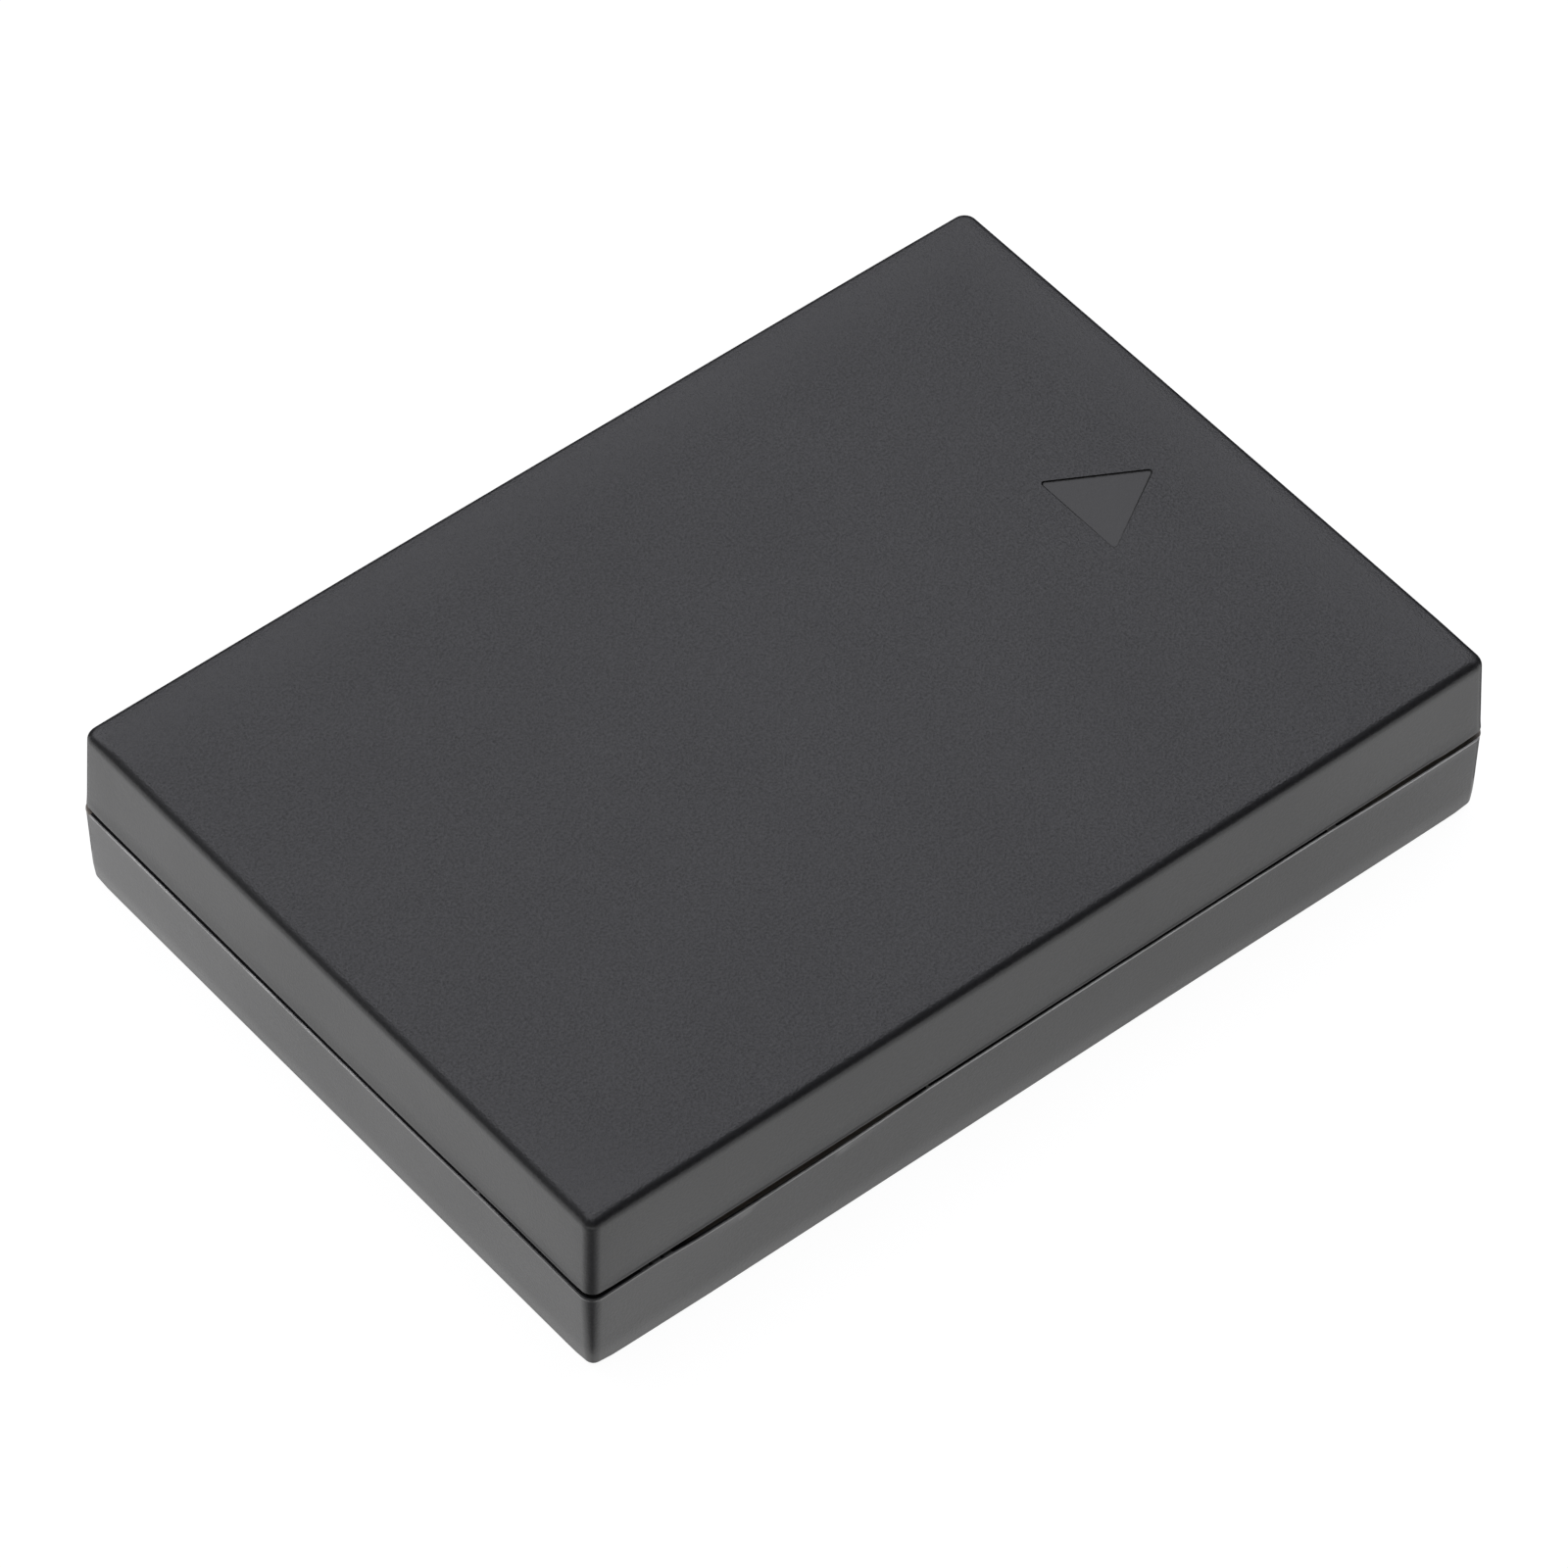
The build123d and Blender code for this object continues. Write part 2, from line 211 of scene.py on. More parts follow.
def sweptWall(tree, section, others, size, shrink):
    # section points are (inset from the outline, 0, height)
    # others are further sections, each with its share round the ring
    # shrink 1 takes the inset off the corner radius
    halfLength, halfWidth, radius = size["halfLength"], size["halfWidth"], size["cornerRound"]
    outline = roundedRectangle(tree, halfLength, halfWidth, radius, meshing["cornerSteps"])
    outline = divideSides(tree, outline, meshing["ringStep"] * mm)
    ringCount, sectionCount = pointCount(tree, outline), pointCount(tree, section)
    gridFeeds = {"Vertices X": calc(tree, "ADD", ringCount, 1.0), "Vertices Y": sectionCount}
    grid = addNode(tree, "GeometryNodeMeshGrid", gridFeeds).outputs["Mesh"]
    index = addNode(tree, "GeometryNodeInputIndex").outputs[0]
    column = calc(tree, "FLOOR", calc(tree, "DIVIDE", calc(tree, "ADD", index, 0.5), sectionCount))
    row = calc(tree, "SUBTRACT", index, calc(tree, "MULTIPLY", column, sectionCount))
    onRing = samplePoint(tree, outline, calc(tree, "MODULO", column, ringCount))
    first = placed = samplePoint(tree, section, row)
    for other, shareOf in others:
        change = vectorCalc(tree, "SUBTRACT", samplePoint(tree, other, row), first)
        placed = vectorCalc(tree, "ADD", placed, scaled(tree, change, shareOf(tree, onRing, size)))
    inset, _, height = splitVector(tree, placed)
    half = joinVector(tree, halfLength, halfWidth)
    core = vectorCalc(tree, "SUBTRACT", half, joinVector(tree, radius, radius))
    centre = clampVector(tree, onRing, core)
    outward = vectorCalc(tree, "NORMALIZE", vectorCalc(tree, "SUBTRACT", onRing, centre))
    lost = calc(tree, "MULTIPLY", calc(tree, "MINIMUM", inset, radius), shrink)
    newRadius = calc(tree, "SUBTRACT", radius, lost)
    margin = calc(tree, "ADD", inset, newRadius)
    newCore = vectorCalc(tree, "SUBTRACT", half, joinVector(tree, margin, margin))
    newCentre = vectorCalc(tree, "MULTIPLY", centre, vectorCalc(tree, "DIVIDE", newCore, core))
    placed = vectorCalc(tree, "ADD", newCentre, scaled(tree, outward, newRadius))
    placed = vectorCalc(tree, "ADD", placed, joinVector(tree, z=height))
    wall = addNode(tree, "GeometryNodeSetPosition", {"Geometry": grid, "Position": placed}).outputs[0]
    return merged(tree, wall)


def rowsBetween(tree, low, high):
    # section points on the straight line between two others, to keep the wall's faces short
    points = []
    rows = meshing["wallRows"]
    for row in range(1, rows + 1):
        share = row / (rows + 1)
        inset, height = (ramp(tree, share, 0, 1, low[place], high[place], False) for place in (0, 2))
        points.append((inset, 0.0, height))
    return points


def merged(tree, *meshes):
    joined = meshes[0]
    if len(meshes) > 1:
        node = addNode(tree, "GeometryNodeJoinGeometry")
        for mesh in meshes:
            tree.links.new(mesh, node.inputs[0])
        joined = node.outputs[0]
    return addNode(tree, "GeometryNodeMergeByDistance", {"Geometry": joined, "Distance": 1e-6}).outputs[0]


def flipped(tree, mesh):
    return addNode(tree, "GeometryNodeFlipFaces", {"Mesh": mesh}).outputs[0]


def openLoopCap(tree, wall, height, above):
    # flat face over the wall's open edge that lies above or below the middle
    neighbours = addNode(tree, "GeometryNodeInputMeshEdgeNeighbors").outputs[0]
    feeds = {2: neighbours, 3: 1}
    edge = addNode(tree, "FunctionNodeCompare", feeds, data_type="INT", operation="EQUAL").outputs[0]
    level = splitVector(tree, addNode(tree, "GeometryNodeInputPosition").outputs[0])[2]
    distance = calc(tree, "ABSOLUTE", calc(tree, "SUBTRACT", level, height))
    feeds = {0: edge, 1: calc(tree, "LESS_THAN", distance, 0.01 * mm)}
    chosen = addNode(tree, "FunctionNodeBooleanMath", feeds, operation="AND").outputs[0]
    loop = addNode(tree, "GeometryNodeMeshToCurve", {"Mesh": wall, "Selection": chosen}).outputs[0]
    face = addNode(tree, "GeometryNodeFillCurve", {"Curve": loop}, mode="NGONS").outputs[0]
    feeds = {"Geometry": face, "Offset": joinVector(tree, z=height)}
    face = addNode(tree, "GeometryNodeSetPosition", feeds).outputs[0]
    return face if above else flipped(tree, face)


def block(tree, low, high):
    # box between two corners, each a list of three values or sockets
    low, high = joinVector(tree, *low), joinVector(tree, *high)
    span = vectorCalc(tree, "SUBTRACT", high, low)
    cube = addNode(tree, "GeometryNodeMeshCube", {"Size": span}).outputs[0]
    middle = scaled(tree, vectorCalc(tree, "ADD", low, high), 0.5)
    return addNode(tree, "GeometryNodeTransform", {"Geometry": cube, "Translation": middle}).outputs[0]


def raisedFace(tree, curve, depth):
    # solid on the XY plane, from zero up
    face = addNode(tree, "GeometryNodeFillCurve", {"Curve": curve}, mode="NGONS").outputs[0]
    feeds = {"Mesh": face, "Offset Scale": depth, "Individual": False}
    top = addNode(tree, "GeometryNodeExtrudeMesh", feeds, mode="FACES").outputs[0]
    return merged(tree, top, flipped(tree, face))


def boolean(tree, operation, body, *others):
    node = addNode(tree, "GeometryNodeMeshBoolean", {}, operation=operation, solver="MANIFOLD")
    if operation == "DIFFERENCE":
        tree.links.new(body, node.inputs["Mesh 1"])
    else:
        tree.links.new(body, node.inputs["Mesh 2"])
    for other in others:
        tree.links.new(other, node.inputs["Mesh 2"])
    return node.outputs[0]


def newShapeTree(name, sizes):
    tree = bpy.data.node_groups.new(name, "GeometryNodeTree")
    tree.interface.new_socket("Geometry", in_out="OUTPUT", socket_type="NodeSocketGeometry")
    for key in sizes:
        tree.interface.new_socket(key, in_out="INPUT", socket_type="NodeSocketFloat")
    outputs = addNode(tree, "NodeGroupInput").outputs
    return tree, {key: outputs[key] for key in sizes}


def between(tree, value, low, high):
    above = calc(tree, "GREATER_THAN", value, low)
    return calc(tree, "MULTIPLY", above, calc(tree, "LESS_THAN", value, high))


def finishEdges(tree, shape, chosen):
    # the chosen sharp edges are bevelled later, the other sharp edges stay sharp
    angle = addNode(tree, "GeometryNodeInputMeshEdgeAngle").outputs["Unsigned Angle"]
    sharp = calc(tree, "GREATER_THAN", angle, radians(meshing["sharpAngle"]))
    weight = calc(tree, "MULTIPLY", sharp, chosen)
    feeds = {"Geometry": shape, "Name": "bevel_weight_edge", "Value": weight}
    settings = {"data_type": "FLOAT", "domain": "EDGE"}
    weighed = addNode(tree, "GeometryNodeStoreNamedAttribute", feeds, **settings).outputs[0]
    smooth = addNode(tree, "GeometryNodeSetShadeSmooth", {"Geometry": weighed}).outputs[0]
    kept = calc(tree, "MULTIPLY", sharp, calc(tree, "LESS_THAN", chosen, 0.01))
    feeds = {"Geometry": smooth, "Selection": kept, "Shade Smooth": False}
    return addNode(tree, "GeometryNodeSetShadeSmooth", feeds, domain="EDGE").outputs[0]


def closeShapeTree(tree, shape, material):
    real = addNode(tree, "GeometryNodeRealizeInstances", {"Geometry": shape}).outputs[0]
    painted = addNode(tree, "GeometryNodeSetMaterial", {"Geometry": real, "Material": material}).outputs[0]
    addNode(tree, "NodeGroupOutput", {"Geometry": painted})


def bakeShape(name, tree, sizes, material):
    carrier = bpy.data.objects.new(name + "Carrier", bpy.data.meshes.new(name + "Carrier"))
    bpy.context.collection.objects.link(carrier)
    modifier = carrier.modifiers.new(name, "NODES")
    modifier.node_group = tree
    for item in tree.interface.items_tree:
        if item.in_out == "INPUT":
            modifier[item.identifier] = sizes[item.name] * mm
    bevel = carrier.modifiers.new("cutEdges", "BEVEL")
    bevel.limit_method = "WEIGHT"
    bevel.width = meshing["cutEdgeRound"] * mm
    bevel.segments = meshing["cutEdgeSteps"]
    bevel.loop_slide = False
    bevel.use_clamp_overlap = False
    even = carrier.modifiers.new("evenNormals", "WEIGHTED_NORMAL")  # keeps the flats flat beside the rounds
    even.keep_sharp = True
    evaluated = carrier.evaluated_get(bpy.context.evaluated_depsgraph_get())
    mesh = bpy.data.meshes.new_from_object(evaluated)
    bpy.data.objects.remove(carrier)
    mesh.name = name
    mesh.materials.clear()
    mesh.materials.append(material)
    piece = bpy.data.objects.new(name, mesh)
    bpy.context.collection.objects.link(piece)
    print(name, "made:", len(mesh.polygons), "faces")
    return piece


def fallOff(tree, value, place, reach):
    # 1 at the place, falling to 0 at the reach to each side
    away = calc(tree, "DIVIDE", calc(tree, "SUBTRACT", value, place), reach)
    return calc(tree, "SUBTRACT", 1.0, calc(tree, "MULTIPLY", away, away), clamp=True)


# Seam as the weld left it, in mm: the lower shell's rim, and the upper one above it
weldedRim = {
    "level": 4.28,
    "hollows": ((-12.5, 6.5, 0.15), (20.0, 5.5, 0.11)),  # place along the long sides, reach, depth
    "endHollow": (9.0, 18.0, 0.085),  # the same along the short side away from the contacts
    "endReach": (6.0, 1.0),  # from that side, over which its hollow comes in
    "cornerLift": 0.08,  # at the near corner
    "liftReach": (12.0, 6.0),
    "liftSkew": 2.2,  # the lift dies out that much faster along the length
    "frontReach": (-3.0, -12.0),  # across the width, over which the upper rim's lift comes in
    "pastNotch": 0.65,  # share of that lift past the notch
    "rippleGrain": 5.0,
    "shiftReach": (0.3, 0.1),  # above and below a rim, over which its shift comes in
}


def rimRise(tree, x, y):
    # how far the rim stands above its level
    alongX = calc(tree, "MULTIPLY", calc(tree, "SUBTRACT", x, lowerLow.x * mm), weldedRim["liftSkew"])
    fromCorner = calc(tree, "ADD", alongX, calc(tree, "SUBTRACT", y, lowerLow.y * mm))
    rise = reachRamp(tree, fromCorner, weldedRim["liftReach"], 0.0, weldedRim["cornerLift"] * mm)
    for place, reach, depth in weldedRim["hollows"]:
        hollow = calc(tree, "MULTIPLY", fallOff(tree, x, place * mm, reach * mm), depth * mm)
        rise = calc(tree, "SUBTRACT", rise, hollow)
    place, reach, depth = weldedRim["endHollow"]
    onEnd = reachRamp(tree, x, [lowerLow.x + away for away in weldedRim["endReach"]])
    hollow = calc(tree, "MULTIPLY", fallOff(tree, y, place * mm, reach * mm), depth * mm)
    return calc(tree, "SUBTRACT", rise, calc(tree, "MULTIPLY", onEnd, hollow))


def frontRise(tree, x, y, size):
    # the upper rim stands higher along the front, less so past a notch, and ripples a little
    wave = noise(tree, joinVector(tree, x, y, 3.0 * mm), weldedRim["rippleGrain"], 1.0)
    wave = calc(tree, "SUBTRACT", wave, 0.5)
    wave = calc(tree, "MULTIPLY", wave, calc(tree, "MULTIPLY", size["ripple"], 4.0))
    front = reachRamp(tree, y, weldedRim["frontReach"])
    past = calc(tree, "GREATER_THAN", x, size["notchPlace"])
    notched = ramp(tree, past, 0, 1, 1.0, weldedRim["pastNotch"], False)
    lift = calc(tree, "MULTIPLY", size["frontLift"], calc(tree, "MULTIPLY", front, notched))
    return calc(tree, "ADD", lift, wave)


def movedRim(tree, wall, level, rise):
    z = splitVector(tree, addNode(tree, "GeometryNodeInputPosition").outputs[0])[2]
    away = calc(tree, "ABSOLUTE", calc(tree, "SUBTRACT", z, level))
    near = reachRamp(tree, away, weldedRim["shiftReach"])
    feeds = {"Geometry": wall, "Offset": joinVector(tree, z=calc(tree, "MULTIPLY", near, rise))}
    return addNode(tree, "GeometryNodeSetPosition", feeds).outputs[0]


def easedSides(tree, wall, size, far):
    # towards the far level each wall leans less in its middle than at the corners
    # the long sides bow inwards
    x, y, z = splitVector(tree, addNode(tree, "GeometryNodeInputPosition").outputs[0])
    reach = ramp(tree, z, size["rim"], far, 0, 1, False)
    endEase = calc(tree, "MULTIPLY", size["endEase"], fallOff(tree, y, 0.0, size["halfWidth"]))
    sideEase = calc(tree, "MULTIPLY", size["sideEase"], fallOff(tree, x, 0.0, size["halfLength"]))
    farEase = calc(tree, "MULTIPLY", size["farEase"], ramp(tree, x, size["farStart"], size["farFull"]))
    sideEase = calc(tree, "ADD", sideEase, farEase)
    bow = calc(tree, "MULTIPLY", size["sideBow"], fallOff(tree, x, size["bowPlace"], size["halfLength"]))
    outX = calc(tree, "MULTIPLY", reach, endEase)
    outY = calc(tree, "SUBTRACT", calc(tree, "MULTIPLY", reach, sideEase), bow)
    moveX = calc(tree, "MULTIPLY", calc(tree, "DIVIDE", x, size["halfLength"]), outX)
    moveY = calc(tree, "MULTIPLY", calc(tree, "DIVIDE", y, size["halfWidth"]), outY)
    feeds = {"Geometry": wall, "Offset": joinVector(tree, moveX, moveY)}
    return addNode(tree, "GeometryNodeSetPosition", feeds).outputs[0]


# Material helpers
def newFinish(name):
    material = bpy.data.materials.new(name)
    material.use_nodes = True
    tree = material.node_tree
    shader = tree.nodes["Principled BSDF"]
    place = addNode(tree, "ShaderNodeTexCoord").outputs["Object"]
    return material, tree, shader, place


def noise(tree, place, grain, detail=2.0, rough=0.5):
    # grain is the size of a blotch, in mm
    feeds = {"Vector": place, "Scale": 1 / (grain * mm), "Detail": detail, "Roughness": rough}
    return addNode(tree, "ShaderNodeTexNoise", feeds).outputs["Fac"]


def stretched(tree, place, x=1.0, y=1.0, z=1.0):
    return addNode(tree, "ShaderNodeMapping", {"Vector": place, "Scale": (x, y, z)}).outputs[0]


def mixColour(tree, factor, first, second):
    return addNode(tree, "ShaderNodeMix", {0: factor, 6: first, 7: second}, data_type="RGBA").outputs[2]


def addBump(tree, shader, height, depth):
    # depth in mm
    feeds = {"Height": height, "Distance": depth * mm, "Strength": 1.0}
    tree.links.new(addNode(tree, "ShaderNodeBump", feeds).outputs[0], shader.inputs["Normal"])


# Casing plastic
casingFinish = {
    "colour": (0.0205, 0.0205, 0.0215, 1),
    "darkSpeckle": (0.008, 0.008, 0.009, 1),
    "paleSpeckle": (0.0465, 0.0465, 0.049, 1),
    "arrowColour": (0.009, 0.0088, 0.0085, 1),
    # painted shade on the sloping walls of the arrow recess, near black
    "arrowWallShade": (0.002, 0.002, 0.002, 1),
    "arrowDepth": 0.06,  # mm
    "arrowWallLevels": (0.002, 0.004),  # mm, above the recess's floor and below the top
    "topEdgeLight": (0.04, 0.04, 0.0415, 1),  # painted light: the top paler close to the rear edges and the near corner
    "edgeLightReach": (4.5, 0.3),  # mm
    "rimHighlight": (0.75, 0.745, 0.73, 1),  # painted highlight: thin white line along the lower shell's rim
    "rimHighlightDepth": 0.13,
    "rimHighlightReach": 20.0,  # mm from the near corner to its full strength
    "rimPatch": 2.0,  # mm, size of its patches
    "seamLight": (0.3, 0.265, 0.23, 1),  # painted light: pale brown that brightens the shaded seam gap of the long sides, where the rim is hollow
    "seamLevels": (4.05, 4.45),
    "seamDepths": (0.06, 0.6),
    "lightStart": (0.02, 0.08),  # mm, depth of the hollow
    "index": 1.57,
    "grain": 0.11,  # mm
    "grainDepth": 0.06,
    "sideGrain": 0.15,  # share of the grain that the sides have
    "sideSpeckle": 0.3,  # and of its colours
    "blotch": 6.0,  # mm, slow changes of gloss
    "faceRoughness": 0.48,
    "sideRoughness": 0.34,
    "edgeFade": 0.08,  # mm over which the grain dies out at the edge of a face
    "waveDepth": 0.03,  # slow waves of the moulded sides
    "arrowSpot": ((14.5, -2.7), (19.3, 2.7)),  # mm, corners round the arrow
}


def makeCasingFinish(topHeight, halfLength, halfWidth):
    material, tree, shader, place = newFinish("casingPlastic")
    x, y, level = splitVector(tree, place)
    fade = casingFinish["edgeFade"] * mm
    onTop = ramp(tree, level, topHeight * mm - fade, topHeight * mm - 0.1 * fade)
    under = ramp(tree, level, fade, 0.1 * fade)
    onFace = calc(tree, "MAXIMUM", onTop, under)
    fine = noise(tree, place, casingFinish["grain"], 3.0, 0.6)
    broad = noise(tree, place, casingFinish["blotch"], 2.0)
    pale = ramp(tree, fine, 0.3, 0.7)
    speckle = mixColour(tree, pale, casingFinish["darkSpeckle"], casingFinish["paleSpeckle"])
    speckled = ramp(tree, onFace, 0, 1, casingFinish["sideSpeckle"], 1.0, False)
    colour = mixColour(tree, speckled, casingFinish["colour"], speckle)
    (left, front), (right, back) = casingFinish["arrowSpot"]
    inLength = between(tree, x, left * mm, right * mm)
    inSpot = calc(tree, "MULTIPLY", inLength, between(tree, y, front * mm, back * mm))
    floorLevel = topHeight - casingFinish["arrowDepth"]
    foot, brim = casingFinish["arrowWallLevels"]
    onFloor = between(tree, level, (floorLevel - 0.1) * mm, (floorLevel + foot) * mm)
    shadedWall = between(tree, level, (floorLevel + foot) * mm, (topHeight - brim) * mm)
    colour = mixColour(tree, calc(tree, "MULTIPLY", inSpot, onFloor), colour, casingFinish["arrowColour"])
    # painted shade: the recess's walls darkened to near black
    colour = mixColour(tree, calc(tree, "MULTIPLY", inSpot, shadedWall), colour, casingFinish["arrowWallShade"])
    fromEnd = calc(tree, "SUBTRACT", halfLength * mm, x)
    fromSide = calc(tree, "SUBTRACT", halfWidth * mm, y)
    fromCorner = calc(tree, "ADD", calc(tree, "ADD", x, y), (halfLength + halfWidth) * mm)
    nearest = calc(tree, "MINIMUM", fromEnd, fromSide)
    nearest = calc(tree, "MINIMUM", nearest, calc(tree, "MULTIPLY", fromCorner, 0.5))
    # painted light: the top face made paler near its rear edges and its near corner
    edgeLit = reachRamp(tree, nearest, casingFinish["edgeLightReach"])
    colour = mixColour(tree, calc(tree, "MULTIPLY", onTop, edgeLit), colour, casingFinish["topEdgeLight"])
    rise = rimRise(tree, x, y)
    fromRim = calc(tree, "SUBTRACT", level, rise)
    rim, highlightDepth = weldedRim["level"], casingFinish["rimHighlightDepth"]
    # painted highlight: near-white colour on the top of the lower rim, weak at the near corner, in patches
    onRim = between(tree, fromRim, (rim - highlightDepth) * mm, (rim - 0.001) * mm)
    highlighted = ramp(tree, fromCorner, 0, casingFinish["rimHighlightReach"] * mm, 0.05, 1.0, False)
    patch = noise(tree, place, casingFinish["rimPatch"], 3.0)
    patchy = calc(tree, "MULTIPLY", highlighted, ramp(tree, patch, 0.3, 0.6, 0.5, 1.0))
    colour = mixColour(tree, calc(tree, "MULTIPLY", onRim, patchy), colour, casingFinish["rimHighlight"])
    # painted light: the lower rim's top inside the seam gap made pale, so that the shaded gap reads lighter
    depth = calc(tree, "SUBTRACT", halfWidth * mm, calc(tree, "ABSOLUTE", y))
    deep = between(tree, depth, *(side * mm for side in casingFinish["seamDepths"]))
    atSeam = between(tree, level, *(side * mm for side in casingFinish["seamLevels"]))
    hollow = reachRamp(tree, rise, [-depth for depth in casingFinish["lightStart"]])
    seamLit = calc(tree, "MULTIPLY", calc(tree, "MULTIPLY", deep, atSeam), hollow)
    colour = mixColour(tree, seamLit, colour, casingFinish["seamLight"])
    feed(tree, shader.inputs["Base Color"], colour)
    shader.inputs["IOR"].default_value = casingFinish["index"]
    rough = ramp(tree, onFace, 0, 1, casingFinish["sideRoughness"], casingFinish["faceRoughness"], False)
    rough = calc(tree, "ADD", rough, ramp(tree, broad, 0.3, 0.7, -0.02, 0.02, False))
    feed(tree, shader.inputs["Roughness"], rough)
    grained = ramp(tree, onFace, 0, 1, casingFinish["sideGrain"], 1.0, False)
    grainHeight = calc(tree, "MULTIPLY", fine, grained)
    waves = ramp(tree, onFace, 0, 1, casingFinish["waveDepth"] / casingFinish["grainDepth"], 0.0, False)
    height = calc(tree, "ADD", grainHeight, calc(tree, "MULTIPLY", broad, waves))
    addBump(tree, shader, height, casingFinish["grainDepth"])
    return material


upperLow, upperHigh = (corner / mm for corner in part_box("upper_shell"))
lowerLow, lowerHigh = (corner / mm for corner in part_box("lower_shell"))
boardLow, boardHigh = (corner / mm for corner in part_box("protection_board"))
firstLow, firstHigh = (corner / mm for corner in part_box("contact_positive"))
secondLow, _ = (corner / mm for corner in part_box("contact_sense"))
casingPlastic = makeCasingFinish(upperHigh.z, upperHigh.x, upperHigh.y)

# Sizes that both shells share, in mm
endOpenings = {
    "windowStart": boardHigh.x - 1.5,
    "windowReach": 4.0,
    "windowPlace": (firstLow.y + firstHigh.y) / 2,
    "windowPitch": secondLow.y - firstLow.y,
    "windowLevel": (firstLow.z + firstHigh.z) / 2,
    "windowHalfWidth": (firstHigh.y - firstLow.y) / 2 + 0.25,
    "windowHalfHeight": (firstHigh.z - firstLow.z) / 2 + 0.25,
    "windowRound": 0.2,
}
boardPosts = {
    "postBack": boardLow.x - 1.1,
    "postFront": boardLow.x - 0.1,
    "postTip": boardHigh.y - 1.2,
    "postRoot": boardHigh.y + 0.7,
    "postGap": 0.05,  # between the posts of the two shells and the seam's ledge
    "postSink": 0.2,  # into the face that carries them
}


def windowCutters(tree, size):
    half = size["windowHalfWidth"], size["windowHalfHeight"]
    outline = roundedRectangle(tree, *half, size["windowRound"], meshing["windowSteps"])
    cutter = raisedFace(tree, outline, size["windowReach"])
    start = joinVector(tree, size["windowStart"], size["windowPlace"], size["windowLevel"])
    rowFeeds = {"Count": 3, "Start Location": start, "Offset": joinVector(tree, y=size["windowPitch"])}
    row = addNode(tree, "GeometryNodeMeshLine", rowFeeds).outputs[0]
    instanceFeeds = {"Points": row, "Instance": cutter, "Rotation": (radians(90), 0, radians(90))}
    placed = addNode(tree, "GeometryNodeInstanceOnPoints", instanceFeeds).outputs[0]
    return addNode(tree, "GeometryNodeRealizeInstances", {"Geometry": placed}).outputs[0]


def postPair(tree, size, bottom, top):
    back, front = size["postBack"], size["postFront"]
    far = block(tree, (back, size["postTip"], bottom), (front, size["postRoot"], top))
    root, tip = (calc(tree, "MULTIPLY", size[key], -1.0) for key in ("postRoot", "postTip"))
    near = block(tree, (back, root, bottom), (front, tip, top))
    return far, near


# Upper shell
upperShell = {
    "halfLength": upperHigh.x + 0.035,  # widest at the flared rim
    "halfWidth": upperHigh.y + 0.035,
    "top": upperHigh.z,
    "ledge": upperLow.z,
    "rim": 4.44,
    "ceiling": 7.95,
    "lean": 0.19,  # top stands in from the rim at the corners
    "endEase": 0.04,  # and by this much less in the middle of the ends
    "sideEase": 0.11,  # and of the sides
    "farEase": 0.05,  # and of the sides towards the contact end
    "farStart": 4.0,
    "farFull": 20.0,
    "sideBow": 0.0,
    "bowPlace": 6.0,
    "flareInset": 0.06,  # wall stands in above the flare
    "flareHeight": 0.55,
    "flareRound": 10.0,
    "cornerRound": 0.53,
    "topMargin": 0.3,  # flat ring round the top face
    "slopeRound": 1.6,
    "rearIn": 0.0,  # rear top edges: a gentle slope, then the round
    "rearSlope": 0.6,
    "rearDrop": 0.1,
    "rearRound": 0.4,
    "frontIn": 0.018,  # front top edges: further in, hardly a slope, a larger round
    "frontSlope": 0.8,
    "frontDrop": 0.02,
    "frontRound": 0.49,
    "cornerRim": 0.03,  # the flare dies out at the corners
    "rimRound": 0.04,
    "tongueInset": 0.455,
    "wall": 0.955,
    "ceilingMargin": 0.5,
    "ripple": 0.006,
    "frontLift": 0.15,  # the rim stands higher along the front
    "notchPlace": 20.3,
    "arrowTip": 18.85,
    "arrowLength": 3.94,
    "arrowBase": 4.58,
    "arrowMiddle": 0.06,
    "arrowDepth": casingFinish["arrowDepth"],
    "arrowSlope": 0.075,  # run of the sloping walls
    "arrowRound": 0.14,
    "endReach": 0.3,  # edges of the windows that are rounded: depth in from the end
    "rimClear": 0.12,  # and heights from the rim and from the windows' top
    "windowClear": 0.1,
}
tongueRounds = (0.02, 0.04, 0.04, 0.1, 0.0)  # mm, from the rim inwards
sectionReach = {  # mm from the outline, where one section of a wall passes into another
    "corner": (1.4, 0.5),
    "front": (3.0, 0.3),
    "left": (1.0, 0.3),
    "back": (0.4, 1.8),
}


